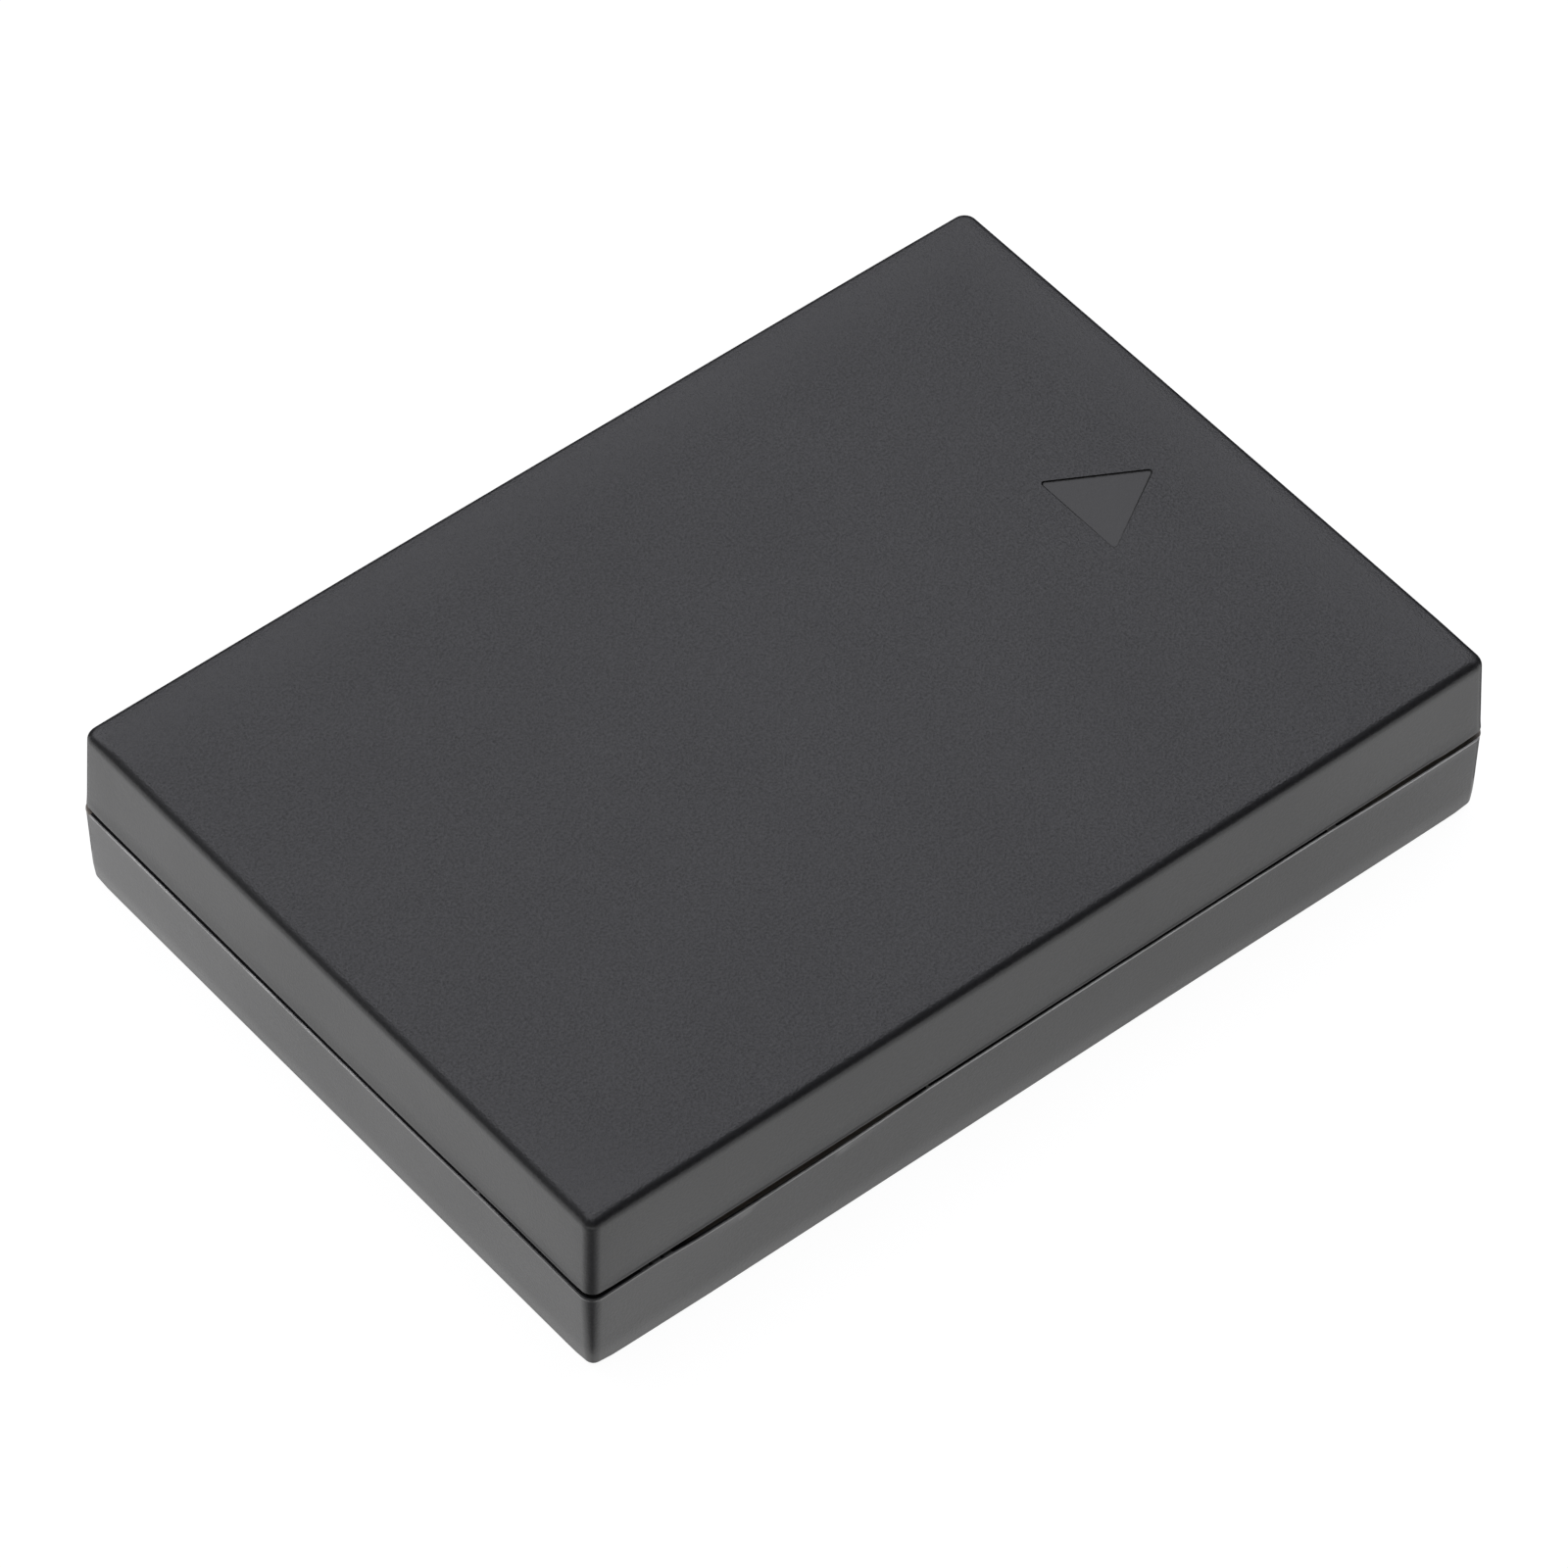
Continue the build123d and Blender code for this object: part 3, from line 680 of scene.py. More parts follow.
def arrowCutter(tree, size):
    # the wall on the +Y side is upright, the other two slope out
    back = calc(tree, "SUBTRACT", size["arrowTip"], size["arrowLength"])
    half = calc(tree, "MULTIPLY", size["arrowBase"], 0.5)
    middle = size["arrowMiddle"]
    high, low = calc(tree, "ADD", middle, half), calc(tree, "SUBTRACT", middle, half)
    corners = [(size["arrowTip"], middle), (back, high), (back, low)]
    outline = pointCurve(tree, corners, [size["arrowRound"]] * 3, meshing["arrowSteps"], True)
    prism = raisedFace(tree, outline, calc(tree, "MULTIPLY", size["arrowDepth"], 3.0))
    x, y, z = splitVector(tree, addNode(tree, "GeometryNodeInputPosition").outputs[0])
    fixedX = calc(tree, "MULTIPLY", calc(tree, "ADD", size["arrowTip"], back), 0.5)
    fixedY = calc(tree, "MULTIPLY", calc(tree, "ADD", middle, high), 0.5)
    run = calc(tree, "DIVIDE", size["arrowSlope"], calc(tree, "MULTIPLY", size["arrowLength"], 0.5))
    grow = calc(tree, "MULTIPLY", run, calc(tree, "DIVIDE", z, size["arrowDepth"]))
    moveX = calc(tree, "MULTIPLY", grow, calc(tree, "SUBTRACT", x, fixedX))
    moveY = calc(tree, "MULTIPLY", grow, calc(tree, "SUBTRACT", y, fixedY))
    feeds = {"Geometry": prism, "Offset": joinVector(tree, moveX, moveY)}
    sloped = addNode(tree, "GeometryNodeSetPosition", feeds).outputs[0]
    floor = joinVector(tree, z=calc(tree, "SUBTRACT", size["top"], size["arrowDepth"]))
    return addNode(tree, "GeometryNodeTransform", {"Geometry": sloped, "Translation": floor}).outputs[0]


def upperSection(tree, size, edge, rimInset):
    edgeStart = calc(tree, "ADD", size["lean"], size[edge + "In"])
    slopeStart = calc(tree, "ADD", edgeStart, size[edge + "Slope"])
    flareTop = calc(tree, "ADD", size["rim"], size["flareHeight"])
    edgePoint = (edgeStart, 0.0, calc(tree, "SUBTRACT", size["top"], size[edge + "Drop"]))
    flarePoint = (size["flareInset"], 0.0, flareTop)
    points = [
        (calc(tree, "ADD", slopeStart, size["topMargin"]), 0.0, size["top"]),
        (slopeStart, 0.0, size["top"]),
        edgePoint,
        *rowsBetween(tree, edgePoint, flarePoint),
        flarePoint,
        (rimInset, 0.0, size["rim"]),
        (size["tongueInset"], 0.0, size["rim"]),
        (size["tongueInset"], 0.0, size["ledge"]),
        (size["wall"], 0.0, size["ledge"]),
        (size["wall"], 0.0, size["ceiling"]),
        (calc(tree, "ADD", size["wall"], size["ceilingMargin"]), 0.0, size["ceiling"]),
    ]
    rounds = [0.0, size["slopeRound"], size[edge + "Round"], *[0.0] * meshing["wallRows"]]
    rounds += [size["flareRound"], size["rimRound"], *(radius * mm for radius in tongueRounds)]
    return pointCurve(tree, points, rounds, meshing["sectionSteps"])


def cornerShare(tree, onRing, size):
    # 1 at the four corners
    x, y, _ = splitVector(tree, onRing)
    fromEnd = calc(tree, "SUBTRACT", size["halfLength"], calc(tree, "ABSOLUTE", x))
    fromSide = calc(tree, "SUBTRACT", size["halfWidth"], calc(tree, "ABSOLUTE", y))
    return reachRamp(tree, calc(tree, "ADD", fromEnd, fromSide), sectionReach["corner"])


def frontShare(tree, onRing, size):
    # 1 along the front and the short side beside it, dying out at the corners past them
    x, y, _ = splitVector(tree, onRing)
    fromLeft = calc(tree, "ADD", x, size["halfLength"])
    fromFront = calc(tree, "ADD", y, size["halfWidth"])
    fromBack = calc(tree, "SUBTRACT", size["halfWidth"], y)
    front = reachRamp(tree, fromFront, sectionReach["front"])
    left = reachRamp(tree, fromLeft, sectionReach["left"])
    left = calc(tree, "MULTIPLY", left, reachRamp(tree, fromBack, sectionReach["back"]))
    return calc(tree, "MAXIMUM", front, left)


def makeUpperShell():
    sizes = {**upperShell, **endOpenings, **boardPosts}
    tree, size = newShapeTree("upperShell", sizes)
    section = upperSection(tree, size, "rear", 0.0)
    others = [(upperSection(tree, size, "front", 0.0), frontShare)]
    others.append((upperSection(tree, size, "rear", size["cornerRim"]), cornerShare))
    wall = flipped(tree, sweptWall(tree, section, others, size, 0.0))
    x, y, _ = splitVector(tree, addNode(tree, "GeometryNodeInputPosition").outputs[0])
    wall = movedRim(tree, wall, size["rim"], frontRise(tree, x, y, size))
    wall = easedSides(tree, wall, size, size["top"])
    topFace = openLoopCap(tree, wall, size["top"], True)
    ceiling = openLoopCap(tree, wall, size["ceiling"], False)
    body = merged(tree, wall, topFace, ceiling)
    postBottom = calc(tree, "ADD", size["ledge"], size["postGap"])
    postTop = calc(tree, "ADD", size["ceiling"], size["postSink"])
    body = boolean(tree, "UNION", body, *postPair(tree, size, postBottom, postTop))
    body = boolean(tree, "DIFFERENCE", body, arrowCutter(tree, size), windowCutters(tree, size))
    x, _, z = splitVector(tree, addNode(tree, "GeometryNodeInputPosition").outputs[0])
    onEnd = calc(tree, "GREATER_THAN", x, calc(tree, "SUBTRACT", size["halfLength"], size["endReach"]))
    windowTop = calc(tree, "ADD", size["windowLevel"], size["windowHalfHeight"])
    lowest = calc(tree, "ADD", size["rim"], size["rimClear"])
    tall = between(tree, z, lowest, calc(tree, "ADD", windowTop, size["windowClear"]))
    body = finishEdges(tree, body, calc(tree, "MULTIPLY", onEnd, tall))
    closeShapeTree(tree, body, casingPlastic)
    return bakeShape("upperShell", tree, sizes, casingPlastic)


# Lower shell
lowerShell = {
    "halfLength": lowerHigh.x,
    "halfWidth": lowerHigh.y,
    "rim": weldedRim["level"],
    "floor": 0.75,
    "ledge": 3.58,
    "lip": 0.45,
    "wall": 1.0,
    "lean": 0.26,  # underside stands in from the rim at the corners
    "endEase": 0.01,  # and by this much less in the middle of the ends
    "sideEase": 0.13,  # and of the sides
    "farEase": 0.08,  # and of the sides towards the contact end
    "farStart": 4.0,
    "farFull": 20.0,
    "sideBow": 0.11,
    "bowPlace": 6.0,
    "flashInset": 0.03,  # thin flash on the rim
    "flashHeight": 0.15,
    "flashRound": 0.5,
    "bellyInset": 0.15,  # where the wall starts to curve in to the underside
    "bellyHeight": 0.9,
    "bellyRound": 8.0,
    "cornerRound": 0.63,
    "edgeRound": 0.14,
    "cornerEdgeRound": 0.32,  # at the worn corners of the underside
    "rimRound": 0.05,
    "labelInset": 1.6,
    "labelRound": 1.2,
    "labelDepth": 0.12,
    "markSize": 1.3,
    "markStroke": 0.3,
    "markDepth": 0.12,
    "markLevel": 1.68,
    "flatMargin": 0.03,
    "floorMargin": 0.5,
    "endReach": 0.16,  # edges of the windows that are rounded: depth in from the end
    "rimClear": 0.3,  # and height below the rim
    "labelReach": 0.002,  # edges of the label recess that are rounded: height above the underside
}
lipRounds = (0.03, 0.04, 0.04, 0.1, 0.0)  # mm, from the rim inwards


def markCutters(tree, size):
    # plus under the first window, minus under the last
    halfMark = calc(tree, "MULTIPLY", size["markSize"], 0.5)
    halfStroke = calc(tree, "MULTIPLY", size["markStroke"], 0.5)
    flashStart = calc(tree, "SUBTRACT", size["rim"], size["flashHeight"])
    insets = size["flashInset"], size["bellyInset"]
    inset = ramp(tree, size["markLevel"], flashStart, size["bellyHeight"], *insets, False)
    face = calc(tree, "SUBTRACT", size["halfLength"], inset)
    start = calc(tree, "SUBTRACT", face, size["markDepth"])
    end = calc(tree, "ADD", face, 1.0 * mm)
    lastPlace = calc(tree, "ADD", size["windowPlace"], calc(tree, "MULTIPLY", size["windowPitch"], 2.0))
    bars = []
    for place, wide, tall in (
        (size["windowPlace"], halfMark, halfStroke),
        (size["windowPlace"], halfStroke, halfMark),
        (lastPlace, halfMark, halfStroke),
    ):
        low = (start, calc(tree, "SUBTRACT", place, wide), calc(tree, "SUBTRACT", size["markLevel"], tall))
        high = (end, calc(tree, "ADD", place, wide), calc(tree, "ADD", size["markLevel"], tall))
        bars.append(block(tree, low, high))
    return bars


def labelCutter(tree, size):
    half = [calc(tree, "SUBTRACT", size[key], size["labelInset"]) for key in ("halfLength", "halfWidth")]
    outline = roundedRectangle(tree, *half, size["labelRound"], meshing["cornerSteps"])
    plate = raisedFace(tree, outline, calc(tree, "MULTIPLY", size["labelDepth"], 3.0))
    drop = joinVector(tree, z=calc(tree, "MULTIPLY", size["labelDepth"], -2.0))
    return addNode(tree, "GeometryNodeTransform", {"Geometry": plate, "Translation": drop}).outputs[0]


def lowerSection(tree, size, edgeRound):
    edge = calc(tree, "ADD", size["cornerEdgeRound"], size["flatMargin"])
    flatStart = calc(tree, "ADD", size["lean"], edge)
    bellyPoint = (size["bellyInset"], 0.0, size["bellyHeight"])
    flashPoint = (size["flashInset"], 0.0, calc(tree, "SUBTRACT", size["rim"], size["flashHeight"]))
    points = [
        (flatStart, 0.0, 0.0),
        (size["lean"], 0.0, 0.0),
        bellyPoint,
        *rowsBetween(tree, bellyPoint, flashPoint),
        flashPoint,
        (0.0, 0.0, size["rim"]),
        (size["lip"], 0.0, size["rim"]),
        (size["lip"], 0.0, size["ledge"]),
        (size["wall"], 0.0, size["ledge"]),
        (size["wall"], 0.0, size["floor"]),
        (calc(tree, "ADD", size["wall"], size["floorMargin"]), 0.0, size["floor"]),
    ]
    rounds = [0.0, edgeRound, size["bellyRound"], *[0.0] * meshing["wallRows"]]
    rounds += [size["flashRound"], size["rimRound"], *(radius * mm for radius in lipRounds)]
    return pointCurve(tree, points, rounds, meshing["sectionSteps"])


def makeLowerShell():
    sizes = {**lowerShell, **endOpenings, **boardPosts}
    tree, size = newShapeTree("lowerShell", sizes)
    section = lowerSection(tree, size, size["edgeRound"])
    cornerSection = lowerSection(tree, size, size["cornerEdgeRound"])
    wall = sweptWall(tree, section, [(cornerSection, cornerShare)], size, 1.0)
    x, y, _ = splitVector(tree, addNode(tree, "GeometryNodeInputPosition").outputs[0])
    wall = movedRim(tree, wall, size["rim"], rimRise(tree, x, y))
    wall = easedSides(tree, wall, size, 0.0)
    underside = openLoopCap(tree, wall, 0.0, False)
    floor = openLoopCap(tree, wall, size["floor"], True)
    body = merged(tree, wall, underside, floor)
    postBottom = calc(tree, "SUBTRACT", size["floor"], size["postSink"])
    postTop = calc(tree, "SUBTRACT", size["ledge"], size["postGap"])
    body = boolean(tree, "UNION", body, *postPair(tree, size, postBottom, postTop))
    cutters = [labelCutter(tree, size), windowCutters(tree, size), *markCutters(tree, size)]
    body = boolean(tree, "DIFFERENCE", body, *cutters)
    x, _, z = splitVector(tree, addNode(tree, "GeometryNodeInputPosition").outputs[0])
    labelEdge = calc(tree, "LESS_THAN", z, size["labelReach"])
    onEnd = calc(tree, "GREATER_THAN", x, calc(tree, "SUBTRACT", size["halfLength"], size["endReach"]))
    aboveMarks = calc(tree, "ADD", size["markLevel"], size["markSize"])
    tall = between(tree, z, aboveMarks, calc(tree, "SUBTRACT", size["rim"], size["rimClear"]))
    body = finishEdges(tree, body, calc(tree, "MAXIMUM", labelEdge, calc(tree, "MULTIPLY", onEnd, tall)))
    closeShapeTree(tree, body, casingPlastic)
    return bakeShape("lowerShell", tree, sizes, casingPlastic)


for piece, node in ((makeUpperShell(), "upper_shell"), (makeLowerShell(), "lower_shell")):
    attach(piece, "root")
    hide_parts(node)


# Finishes of the label, the contacts and the inner pieces
def dress(material, *names):
    for name in names:
        for holder in cadNodes[name].material_slots:
            holder.material = material


def shade(colour, factor):
    return (*(channel * factor for channel in colour[:3]), 1)


def speckledColour(tree, finish, blotch):
    low, high = (shade(finish["colour"], 1 + side * finish["contrast"]) for side in (-1, 1))
    return mixColour(tree, ramp(tree, blotch, 0.25, 0.75, 0, 1, False), low, high)


def makeSpeckled(name, finish):
    # one colour with light and dark blotches, the same blotches as bump and as gloss
    material, tree, shader, place = newFinish(name)
    blotch = noise(tree, stretched(tree, place, *finish["stretch"]), finish["grain"], 4.0, 0.6)
    feed(tree, shader.inputs["Base Color"], speckledColour(tree, finish, blotch))
    low, high = finish["roughness"] - 0.06, finish["roughness"] + 0.06
    feed(tree, shader.inputs["Roughness"], ramp(tree, blotch, 0.3, 0.7, low, high, False))
    shader.inputs["Metallic"].default_value = finish["metal"]
    addBump(tree, shader, blotch, finish["depth"])
    return material


labelFilm = {
    "colour": (0.16, 0.16, 0.165), "contrast": 0.08, "grain": 0.3, "stretch": (1, 1, 1),
    "depth": 0.006, "roughness": 0.5, "metal": 0.0,
}
dress(makeSpeckled("labelFilm", labelFilm), "rating_label")

foamTape = {
    "colour": (0.74, 0.74, 0.7), "contrast": 0.15, "grain": 0.2, "stretch": (1, 1, 1),
    "depth": 0.05, "roughness": 0.9, "metal": 0.0,
}
dress(makeSpeckled("foamTape", foamTape), "upper_pad", "lower_pad")

drawnAluminium = {
    "colour": (0.78, 0.79, 0.8), "contrast": 0.1, "grain": 0.1, "stretch": (0.02, 1, 1),  # drawn along X
    "depth": 0.002, "roughness": 0.32, "metal": 1.0,
}
dress(makeSpeckled("drawnAluminium", drawnAluminium), "cell_can", "fill_plug")

gasketPlastic = {
    "colour": (0.72, 0.71, 0.66), "contrast": 0.06, "grain": 0.4, "stretch": (1, 1, 1),
    "depth": 0.005, "roughness": 0.42, "metal": 0.0,
}
dress(makeSpeckled("gasketPlastic", gasketPlastic), "terminal_gasket")

rolledNickel = {
    "colour": (0.66, 0.63, 0.57), "contrast": 0.12, "grain": 0.08, "stretch": (1, 0.03, 1),  # rolled along Y
    "depth": 0.002, "roughness": 0.3, "metal": 1.0,
}
nickelPieces = ("cell_terminal", "terminal_lead", "fuse_lead", "positive_tab")
dress(makeSpeckled("rolledNickel", rolledNickel), *nickelPieces)

insulatingPaper = {
    "colour": (0.3, 0.42, 0.4), "contrast": 0.2, "grain": 0.25, "stretch": (1, 0.3, 1),  # fibres along Y
    "depth": 0.02, "roughness": 0.85, "metal": 0.0,
}
dress(makeSpeckled("insulatingPaper", insulatingPaper), "end_insulator")

fuseBody = {
    "colour": (0.42, 0.2, 0.09), "contrast": 0.15, "grain": 0.3, "stretch": (1, 1, 1),
    "depth": 0.008, "roughness": 0.5, "metal": 0.0,
}
dress(makeSpeckled("fuseBody", fuseBody), "thermal_fuse")
print("label, cell and strips dressed")

# Board: solder mask over copper tracks, bare glass fibre on the cut edges
boardLaminate = {
    "mask": (0.02, 0.16, 0.07, 1),
    "track": (0.035, 0.23, 0.1, 1),
    "fibre": (0.5, 0.42, 0.22, 1),
    "trackPitch": 0.9,  # mm
    "trackGap": 0.18,
    "trackSoft": 0.02,
    "trackDepth": 0.02,
    "wander": 2.0,  # mm, tracks step up and down the board
    "wanderGrain": 2.5,
    "wanderStep": 0.45,
    "roughness": 0.3,
    "fibreRoughness": 0.75,
}


def makeBoardFinish():
    material, tree, shader, place = newFinish("boardLaminate")
    _, y, z = splitVector(tree, place)
    bend = noise(tree, place, boardLaminate["wanderGrain"], 1.0)
    bend = calc(tree, "MULTIPLY", bend, boardLaminate["wander"] * mm)
    stepped = calc(tree, "SNAP", bend, boardLaminate["wanderStep"] * mm)
    lane = calc(tree, "PINGPONG", calc(tree, "ADD", z, stepped), boardLaminate["trackPitch"] * mm / 2)
    gap, soft = boardLaminate["trackGap"], boardLaminate["trackSoft"]
    track = reachRamp(tree, lane, (gap - soft, gap + soft))
    colour = mixColour(tree, track, boardLaminate["mask"], boardLaminate["track"])
    cutSide = calc(tree, "GREATER_THAN", calc(tree, "ABSOLUTE", y), (boardHigh.y - 0.01) * mm)
    middle, half = (boardHigh.z + boardLow.z) / 2, (boardHigh.z - boardLow.z) / 2
    cutEnd = calc(tree, "ABSOLUTE", calc(tree, "SUBTRACT", z, middle * mm))
    bare = calc(tree, "MAXIMUM", cutSide, calc(tree, "GREATER_THAN", cutEnd, (half - 0.01) * mm))
    weave = noise(tree, stretched(tree, place, 6, 1, 1), 0.3, 3.0)
    fibre = mixColour(tree, weave, shade(boardLaminate["fibre"], 0.7), shade(boardLaminate["fibre"], 1.2))
    feed(tree, shader.inputs["Base Color"], mixColour(tree, bare, colour, fibre))
    rough = ramp(tree, bare, 0, 1, boardLaminate["roughness"], boardLaminate["fibreRoughness"], False)
    feed(tree, shader.inputs["Roughness"], rough)
    addBump(tree, shader, track, boardLaminate["trackDepth"])
    return material


dress(makeBoardFinish(), "protection_board")

# Board parts: a body, and tinned pins or ends past it
tin = {"colour": (0.62, 0.62, 0.6, 1), "roughness": 0.32}


def makeTinned(name, finish, node, axis):
    material, tree, shader, place = newFinish(name)
    low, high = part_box(node)
    offset = calc(tree, "SUBTRACT", splitVector(tree, place)[axis], (low[axis] + high[axis]) / 2)
    offset = calc(tree, "ABSOLUTE", offset)
    nearest = 1.0
    for centre in finish["places"]:
        away = calc(tree, "ABSOLUTE", calc(tree, "SUBTRACT", offset, centre * mm))
        nearest = calc(tree, "MINIMUM", nearest, away)
    tinned = calc(tree, "GREATER_THAN", nearest, finish["bodyHalf"] * mm)
    blotch = noise(tree, place, finish["grain"], 3.0, 0.6)
    colour = mixColour(tree, tinned, speckledColour(tree, finish, blotch), tin["colour"])
    feed(tree, shader.inputs["Base Color"], colour)
    feed(tree, shader.inputs["Metallic"], tinned)
    rough = ramp(tree, tinned, 0, 1, finish["roughness"], tin["roughness"], False)
    feed(tree, shader.inputs["Roughness"], rough)
    addBump(tree, shader, blotch, finish["depth"])
    return material


transistorBody = {
    "colour": (0.03, 0.03, 0.032), "contrast": 0.25, "grain": 0.08, "depth": 0.01, "roughness": 0.55,
    "bodyHalf": 2.2, "places": (0.0,),
}
dress(makeTinned("transistorBody", transistorBody, "switch_transistor", 1), "switch_transistor")

chipBody = {
    "colour": (0.03, 0.03, 0.032), "contrast": 0.25, "grain": 0.08, "depth": 0.01, "roughness": 0.55,
    "bodyHalf": 0.8, "places": (0.0,),
}
dress(makeTinned("chipBody", chipBody, "protection_chip", 1), "protection_chip")

capacitorBody = {
    "colour": (0.5, 0.36, 0.22), "contrast": 0.1, "grain": 0.15, "depth": 0.004, "roughness": 0.4,
    "bodyHalf": 0.52, "places": (1.3,),
}
dress(makeTinned("capacitorBody", capacitorBody, "capacitors", 2), "capacitors")

resistorBody = {
    "colour": (0.05, 0.05, 0.055), "contrast": 0.15, "grain": 0.15, "depth": 0.004, "roughness": 0.3,
    "bodyHalf": 0.52, "places": (0.0, 2.1),
}
dress(makeTinned("resistorBody", resistorBody, "resistors", 2), "resistors")

thermistorBody = {
    "colour": (0.1, 0.14, 0.2), "contrast": 0.12, "grain": 0.15, "depth": 0.004, "roughness": 0.4,
    "bodyHalf": 0.52, "places": (0.0,),
}
dress(makeTinned("thermistorBody", thermistorBody, "thermistor", 2), "thermistor")
print("board dressed")

# Contacts: gold plating, wiped smooth where the spring pins press
contactGold = {
    "colour": (0.8, 0.56, 0.22),
    "contrast": 0.12,
    "wiped": (0.88, 0.68, 0.34, 1),
    "grain": 0.05,  # mm, across the polishing lines
    "wipeSize": (0.55, 0.85),  # mm, half width and half height of the wiped spot
    "roughness": 0.34,
    "wipedRoughness": 0.18,
    "depth": 0.0015,
}


def makeContactFinish():
    material, tree, shader, place = newFinish("contactGold")
    _, y, z = splitVector(tree, place)
    pitch, first = endOpenings["windowPitch"], endOpenings["windowPlace"]
    away = calc(tree, "WRAP", calc(tree, "SUBTRACT", y, first * mm), pitch * mm / 2, -pitch * mm / 2)
    level = calc(tree, "SUBTRACT", z, endOpenings["windowLevel"] * mm)
    wide, tall = contactGold["wipeSize"]
    ragged = calc(tree, "MULTIPLY", calc(tree, "SUBTRACT", noise(tree, place, 0.3, 3.0), 0.5), 0.8)
    across, up = calc(tree, "DIVIDE", away, wide * mm), calc(tree, "DIVIDE", level, tall * mm)
    feeds = {0: joinVector(tree, across, up)}
    reach = addNode(tree, "ShaderNodeVectorMath", feeds, operation="LENGTH").outputs["Value"]
    wiped = ramp(tree, calc(tree, "ADD", reach, ragged), 1.15, 0.75)
    lines = noise(tree, stretched(tree, place, 1, 1, 0.06), contactGold["grain"], 3.0, 0.6)
    colour = mixColour(tree, wiped, speckledColour(tree, contactGold, lines), contactGold["wiped"])
    feed(tree, shader.inputs["Base Color"], colour)
    shader.inputs["Metallic"].default_value = 1.0
    rough = ramp(tree, wiped, 0, 1, contactGold["roughness"], contactGold["wipedRoughness"], False)
    rough = calc(tree, "ADD", rough, ramp(tree, lines, 0.3, 0.7, -0.05, 0.05, False))
    feed(tree, shader.inputs["Roughness"], rough)
    addBump(tree, shader, lines, contactGold["depth"])
    return material


dress(makeContactFinish(), "contact_positive", "contact_sense", "contact_negative")
print("contacts dressed")

# Floor, light and background
studio = {
    "floorHalf": 1.5,  # m
    "floorDrop": 0.02,  # mm under the pack
    "openingInset": 1.2,  # mm inside the outline, the floor is open there to light the underside
    "floorColour": (0.86, 0.86, 0.86, 1),
    "floorGlow": 1.125,  # white, for what the camera sees
    "mirrorGlow": 1.2,  # and reflections
    "glowShare": 0.85,
    "softboxHeight": 0.35,  # m
    "softboxCentre": (0.21, 0.295),
    "softboxSize": (0.84, 0.8),
    "softboxRadiance": 1.32,
    "softboxColour": (0.985, 0.985, 1.05),
    "darkAim": 223.0,  # degrees, the floor is dark that way from the near corner, in reflections
    "darkCore": 8.0,  # degrees to each side
    "darkEdge": 88.0,
    "darkest": 0.13,
    "darkReach": 30.0,  # mm
    "contactShade": 0.12,  # floor right under the pack, in reflections
    "contactReach": (-0.5, -0.08),  # mm past the outline
    "frontShade": 0.86,  # floor in front of the middle of the long side, in reflections
    "frontReach": (-20.0, -12.0),  # mm in Y
    "frontNear": 0.16,  # and that much brighter at its near end
    "nearReach": (-6.0, -20.0),  # mm in X
    "frontFar": 0.1,  # and at its far end
    "farReach": (14.0, 22.0),
    "leftGlow": 0.18,  # floor beside the far end of the short side is that much brighter
    "leftReach": ((-26.5, -24.5), (4.0, 16.0)),  # mm in X and Y
    "flagGap": 0.8,  # mm behind the rear sides
    "flagFoot": 0.1,  # mm above the ground
    "flagTop": (6.6, 8.95),  # mm, heights of the strip behind the top edge
    "flagEnd": 3.0,  # mm, width of the strip behind the corner
    "roomDim": 0.02,
    "roomBright": 0.2,
    "roomAim": (0.6, 0.8),  # it brightens to -X and +Y in these shares
    "roomReach": (-0.6, 0.9),
    "roomBelow": 0.5,
    "belowReach": (-0.02, -0.3),
}


def addStageMesh(name, corners, material):
    mesh = bpy.data.meshes.new(name)
    mesh.from_pydata(corners, [], [range(start, start + 4) for start in range(0, len(corners), 4)])
    mesh.materials.append(material)
    thing = bpy.data.objects.new(name, mesh)
    bpy.context.collection.objects.link(thing)
    return thing


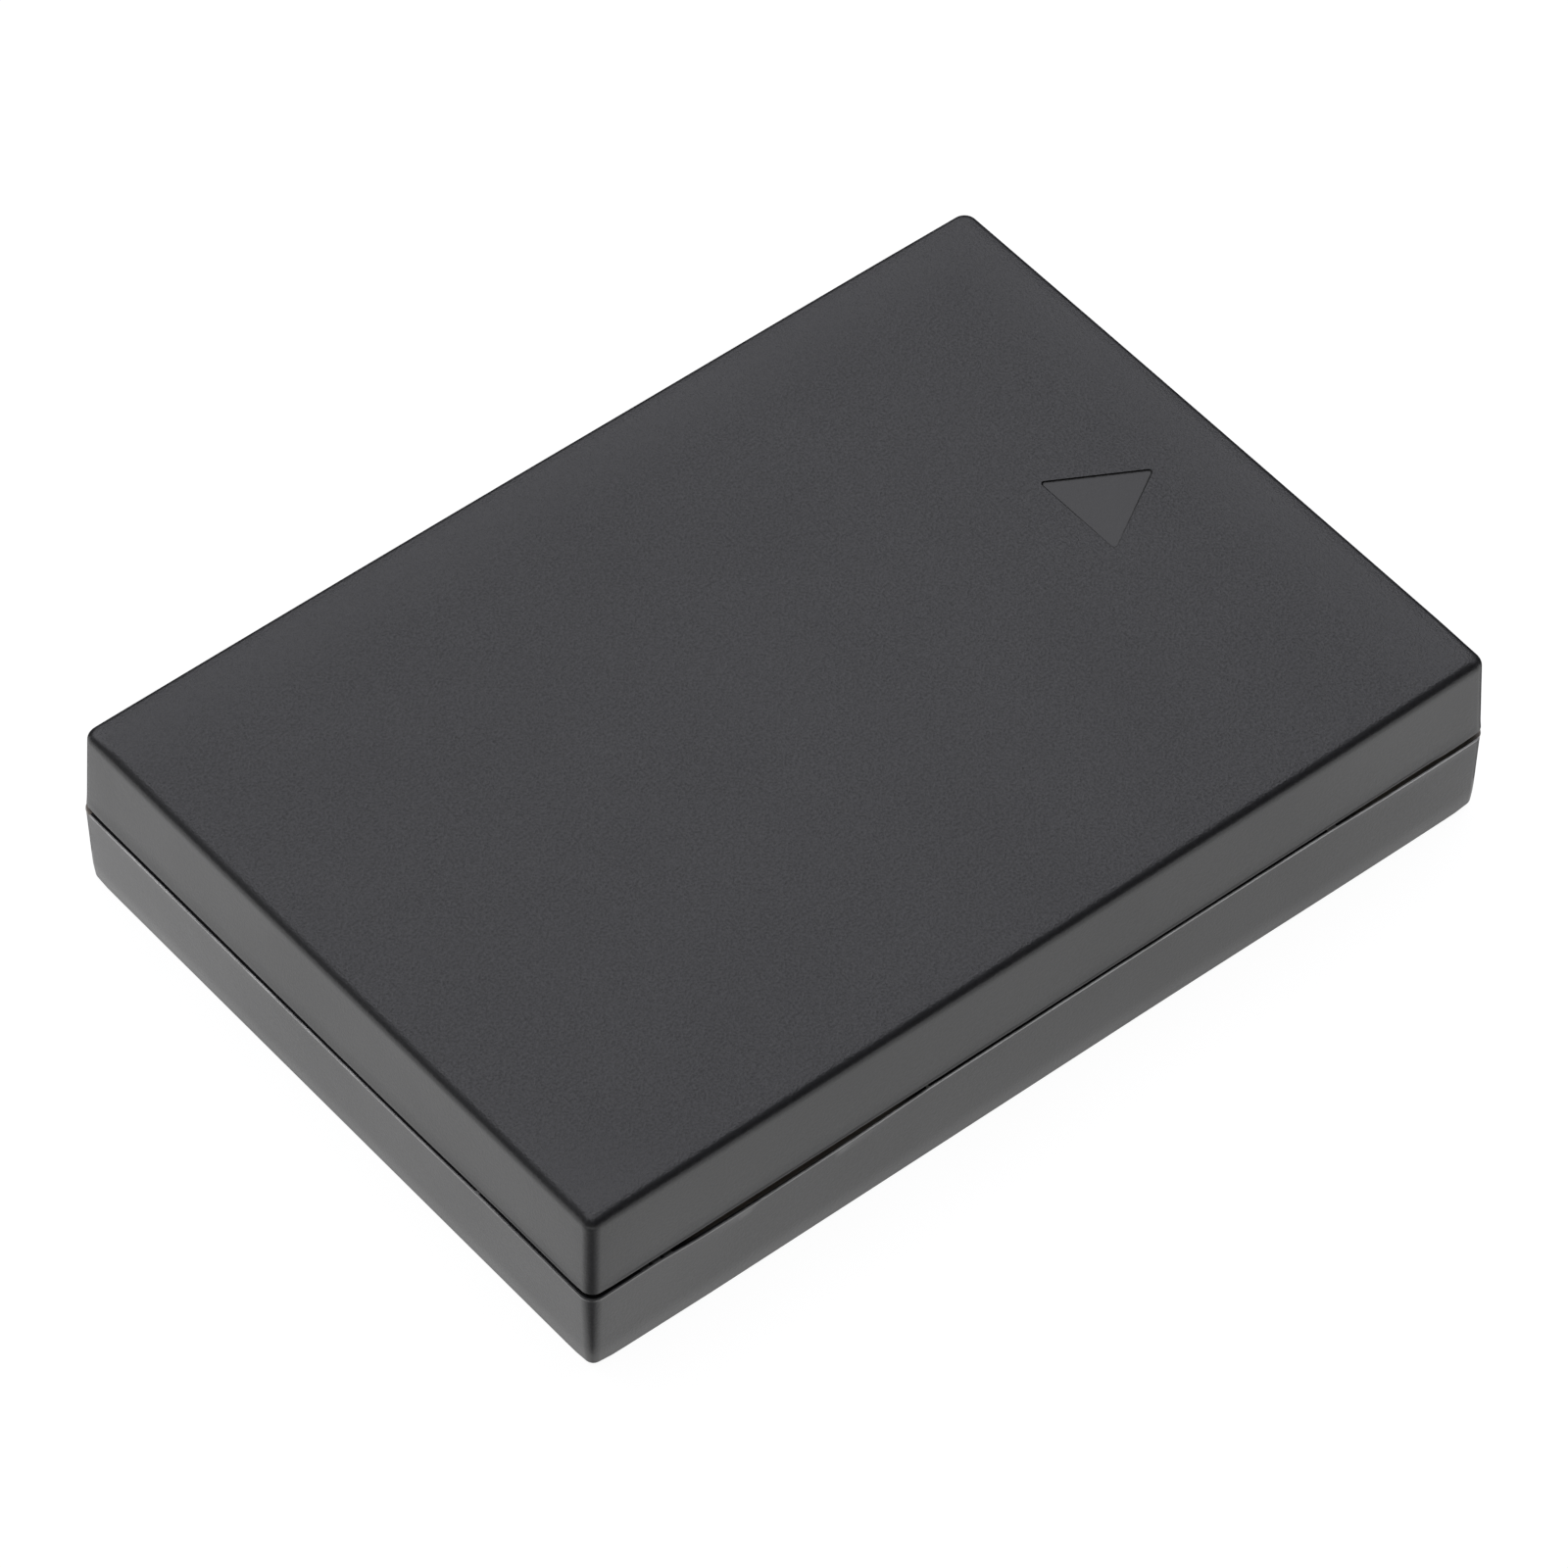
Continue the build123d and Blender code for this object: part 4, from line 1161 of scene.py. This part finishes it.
def mirroredFloor(tree):
    # 0 to 1: dim in front of the near corner, under the pack and along the long side
    x, y, _ = splitVector(tree, addNode(tree, "ShaderNodeTexCoord").outputs["Object"])
    awayX = calc(tree, "SUBTRACT", x, lowerLow.x * mm)
    awayY = calc(tree, "SUBTRACT", y, lowerLow.y * mm)
    aim = radians(studio["darkAim"])
    cosX, sinX = (calc(tree, "MULTIPLY", awayX, part) for part in (cos(aim), sin(aim)))
    cosY, sinY = (calc(tree, "MULTIPLY", awayY, part) for part in (cos(aim), sin(aim)))
    ahead = calc(tree, "ADD", cosX, sinY)
    aside = calc(tree, "SUBTRACT", cosY, sinX)
    turn = calc(tree, "ABSOLUTE", calc(tree, "ARCTAN2", aside, ahead))
    core, edge = radians(studio["darkCore"]), radians(studio["darkEdge"])
    corner = ramp(tree, turn, core, edge, studio["darkest"], 1.0)
    reach = studio["darkReach"]
    far = reachRamp(tree, ahead, (0.5 * reach, reach))
    pastEnd = calc(tree, "SUBTRACT", calc(tree, "ABSOLUTE", x), lowerHigh.x * mm)
    pastSide = calc(tree, "SUBTRACT", calc(tree, "ABSOLUTE", y), lowerHigh.y * mm)
    past = calc(tree, "MAXIMUM", pastEnd, pastSide)
    contact = reachRamp(tree, past, studio["contactReach"], studio["contactShade"])
    nearEnd = reachRamp(tree, x, studio["nearReach"], 0.0, studio["frontNear"])
    farEnd = reachRamp(tree, x, studio["farReach"], 0.0, studio["frontFar"])
    ends = calc(tree, "ADD", nearEnd, farEnd)
    front = reachRamp(tree, y, studio["frontReach"], calc(tree, "ADD", ends, studio["frontShade"]))
    reachX, reachY = studio["leftReach"]
    beside = calc(tree, "MULTIPLY", reachRamp(tree, y, reachY), reachRamp(tree, x, reachX))
    glow = calc(tree, "ADD", 1.0, calc(tree, "MULTIPLY", beside, studio["leftGlow"]))
    sides = calc(tree, "MULTIPLY", glow, calc(tree, "MULTIPLY", contact, front))
    return calc(tree, "MULTIPLY", calc(tree, "MAXIMUM", corner, far), sides)


def makeFloor():
    material = bpy.data.materials.new("floorWhite")
    material.use_nodes = True
    tree = material.node_tree
    tree.nodes.clear()
    output = addNode(tree, "ShaderNodeOutputMaterial")
    paper = addNode(tree, "ShaderNodeBsdfDiffuse", {"Color": studio["floorColour"]}).outputs[0]
    light = addNode(tree, "ShaderNodeLightPath").outputs
    mirrored = calc(tree, "MAXIMUM", light["Is Glossy Ray"], light["Is Transmission Ray"])
    reflected = calc(tree, "MULTIPLY", mirroredFloor(tree), studio["mirrorGlow"])
    strength = ramp(tree, mirrored, 0, 1, studio["floorGlow"], reflected, False)
    glow = addNode(tree, "ShaderNodeEmission", {"Strength": strength}).outputs[0]
    seen = calc(tree, "MAXIMUM", light["Is Camera Ray"], mirrored)
    share = calc(tree, "MULTIPLY", seen, studio["glowShare"])
    mixed = addNode(tree, "ShaderNodeMixShader", {0: share, 1: paper, 2: glow}).outputs[0]
    behind = addNode(tree, "ShaderNodeNewGeometry").outputs["Backfacing"]  # clear from below
    clear = addNode(tree, "ShaderNodeBsdfTransparent").outputs[0]
    sided = addNode(tree, "ShaderNodeMixShader", {0: behind, 1: mixed, 2: clear}).outputs[0]
    tree.links.new(sided, output.inputs["Surface"])
    half, level, inset = studio["floorHalf"], -studio["floorDrop"] * mm, studio["openingInset"]
    left, right = (lowerLow.x + inset) * mm, (lowerHigh.x - inset) * mm
    front, back = (lowerLow.y + inset) * mm, (lowerHigh.y - inset) * mm
    strips = [(-half, left, -half, half), (right, half, -half, half)]
    strips += [(left, right, -half, front), (left, right, back, half)]
    corners = []
    for low, high, near, far in strips:
        corners += [(low, near, level), (high, near, level), (high, far, level), (low, far, level)]
    addStageMesh("floor", corners, material)


def makeRearFlag():
    # black card that only reflections see, standing close behind the two rear sides
    gap, foot, (low, high) = studio["flagGap"], studio["flagFoot"], studio["flagTop"]
    x, y = lowerHigh.x + gap, lowerHigh.y + gap
    left, near = lowerLow.x, lowerLow.y
    leftEnd, nearEnd = left + studio["flagEnd"], near + studio["flagEnd"]
    flag = [(left, y, low), (x, y, low), (x, y, high), (left, y, high)]
    flag += [(left, y, foot), (leftEnd, y, foot), (leftEnd, y, low), (left, y, low)]
    flag += [(x, near, low), (x, y, low), (x, y, high), (x, near, high)]
    flag += [(x, near, foot), (x, nearEnd, foot), (x, nearEnd, low), (x, near, low)]
    material = bpy.data.materials.new("rearFlag")
    material.use_nodes = True
    shader = material.node_tree.nodes["Principled BSDF"]
    shader.inputs["Base Color"].default_value = (0, 0, 0, 1)
    shader.inputs["Specular IOR Level"].default_value = 0.0
    card = addStageMesh("rearFlag", [Vector(corner) * mm for corner in flag], material)
    card.visible_camera = card.visible_diffuse = card.visible_shadow = False


def makeSoftbox():
    lamp = bpy.data.lights.new("softbox", "AREA")
    lamp.shape = "RECTANGLE"
    lamp.size, lamp.size_y = studio["softboxSize"]
    lamp.energy = studio["softboxRadiance"] * pi * lamp.size * lamp.size_y
    lamp.color = studio["softboxColour"]
    softbox = bpy.data.objects.new("softbox", lamp)
    softbox.location = (*studio["softboxCentre"], studio["softboxHeight"])
    softbox.visible_camera = False
    bpy.context.collection.objects.link(softbox)


def makeRoom():
    # white behind the pack for the camera; a dim room, darker to the front right, for everything else
    world = bpy.data.worlds.new("studio")
    world.use_nodes = True
    bpy.context.scene.world = world
    tree = world.node_tree
    background = tree.nodes["Background"]
    x, y, z = splitVector(tree, addNode(tree, "ShaderNodeTexCoord").outputs["Generated"])
    alongX, alongY = studio["roomAim"]
    side = calc(tree, "SUBTRACT", calc(tree, "MULTIPLY", y, alongY), calc(tree, "MULTIPLY", x, alongX))
    dim = ramp(tree, side, *studio["roomReach"], studio["roomDim"], studio["roomBright"])
    dim = ramp(tree, z, *studio["belowReach"], dim, studio["roomBelow"])
    seen = addNode(tree, "ShaderNodeLightPath").outputs["Is Camera Ray"]
    strength = calc(tree, "MAXIMUM", seen, dim)
    feed(tree, background.inputs["Color"], (1, 1, 1, 1))
    feed(tree, background.inputs["Strength"], strength)


makeFloor()
makeRearFlag()
makeSoftbox()
makeRoom()
print("stage lit")
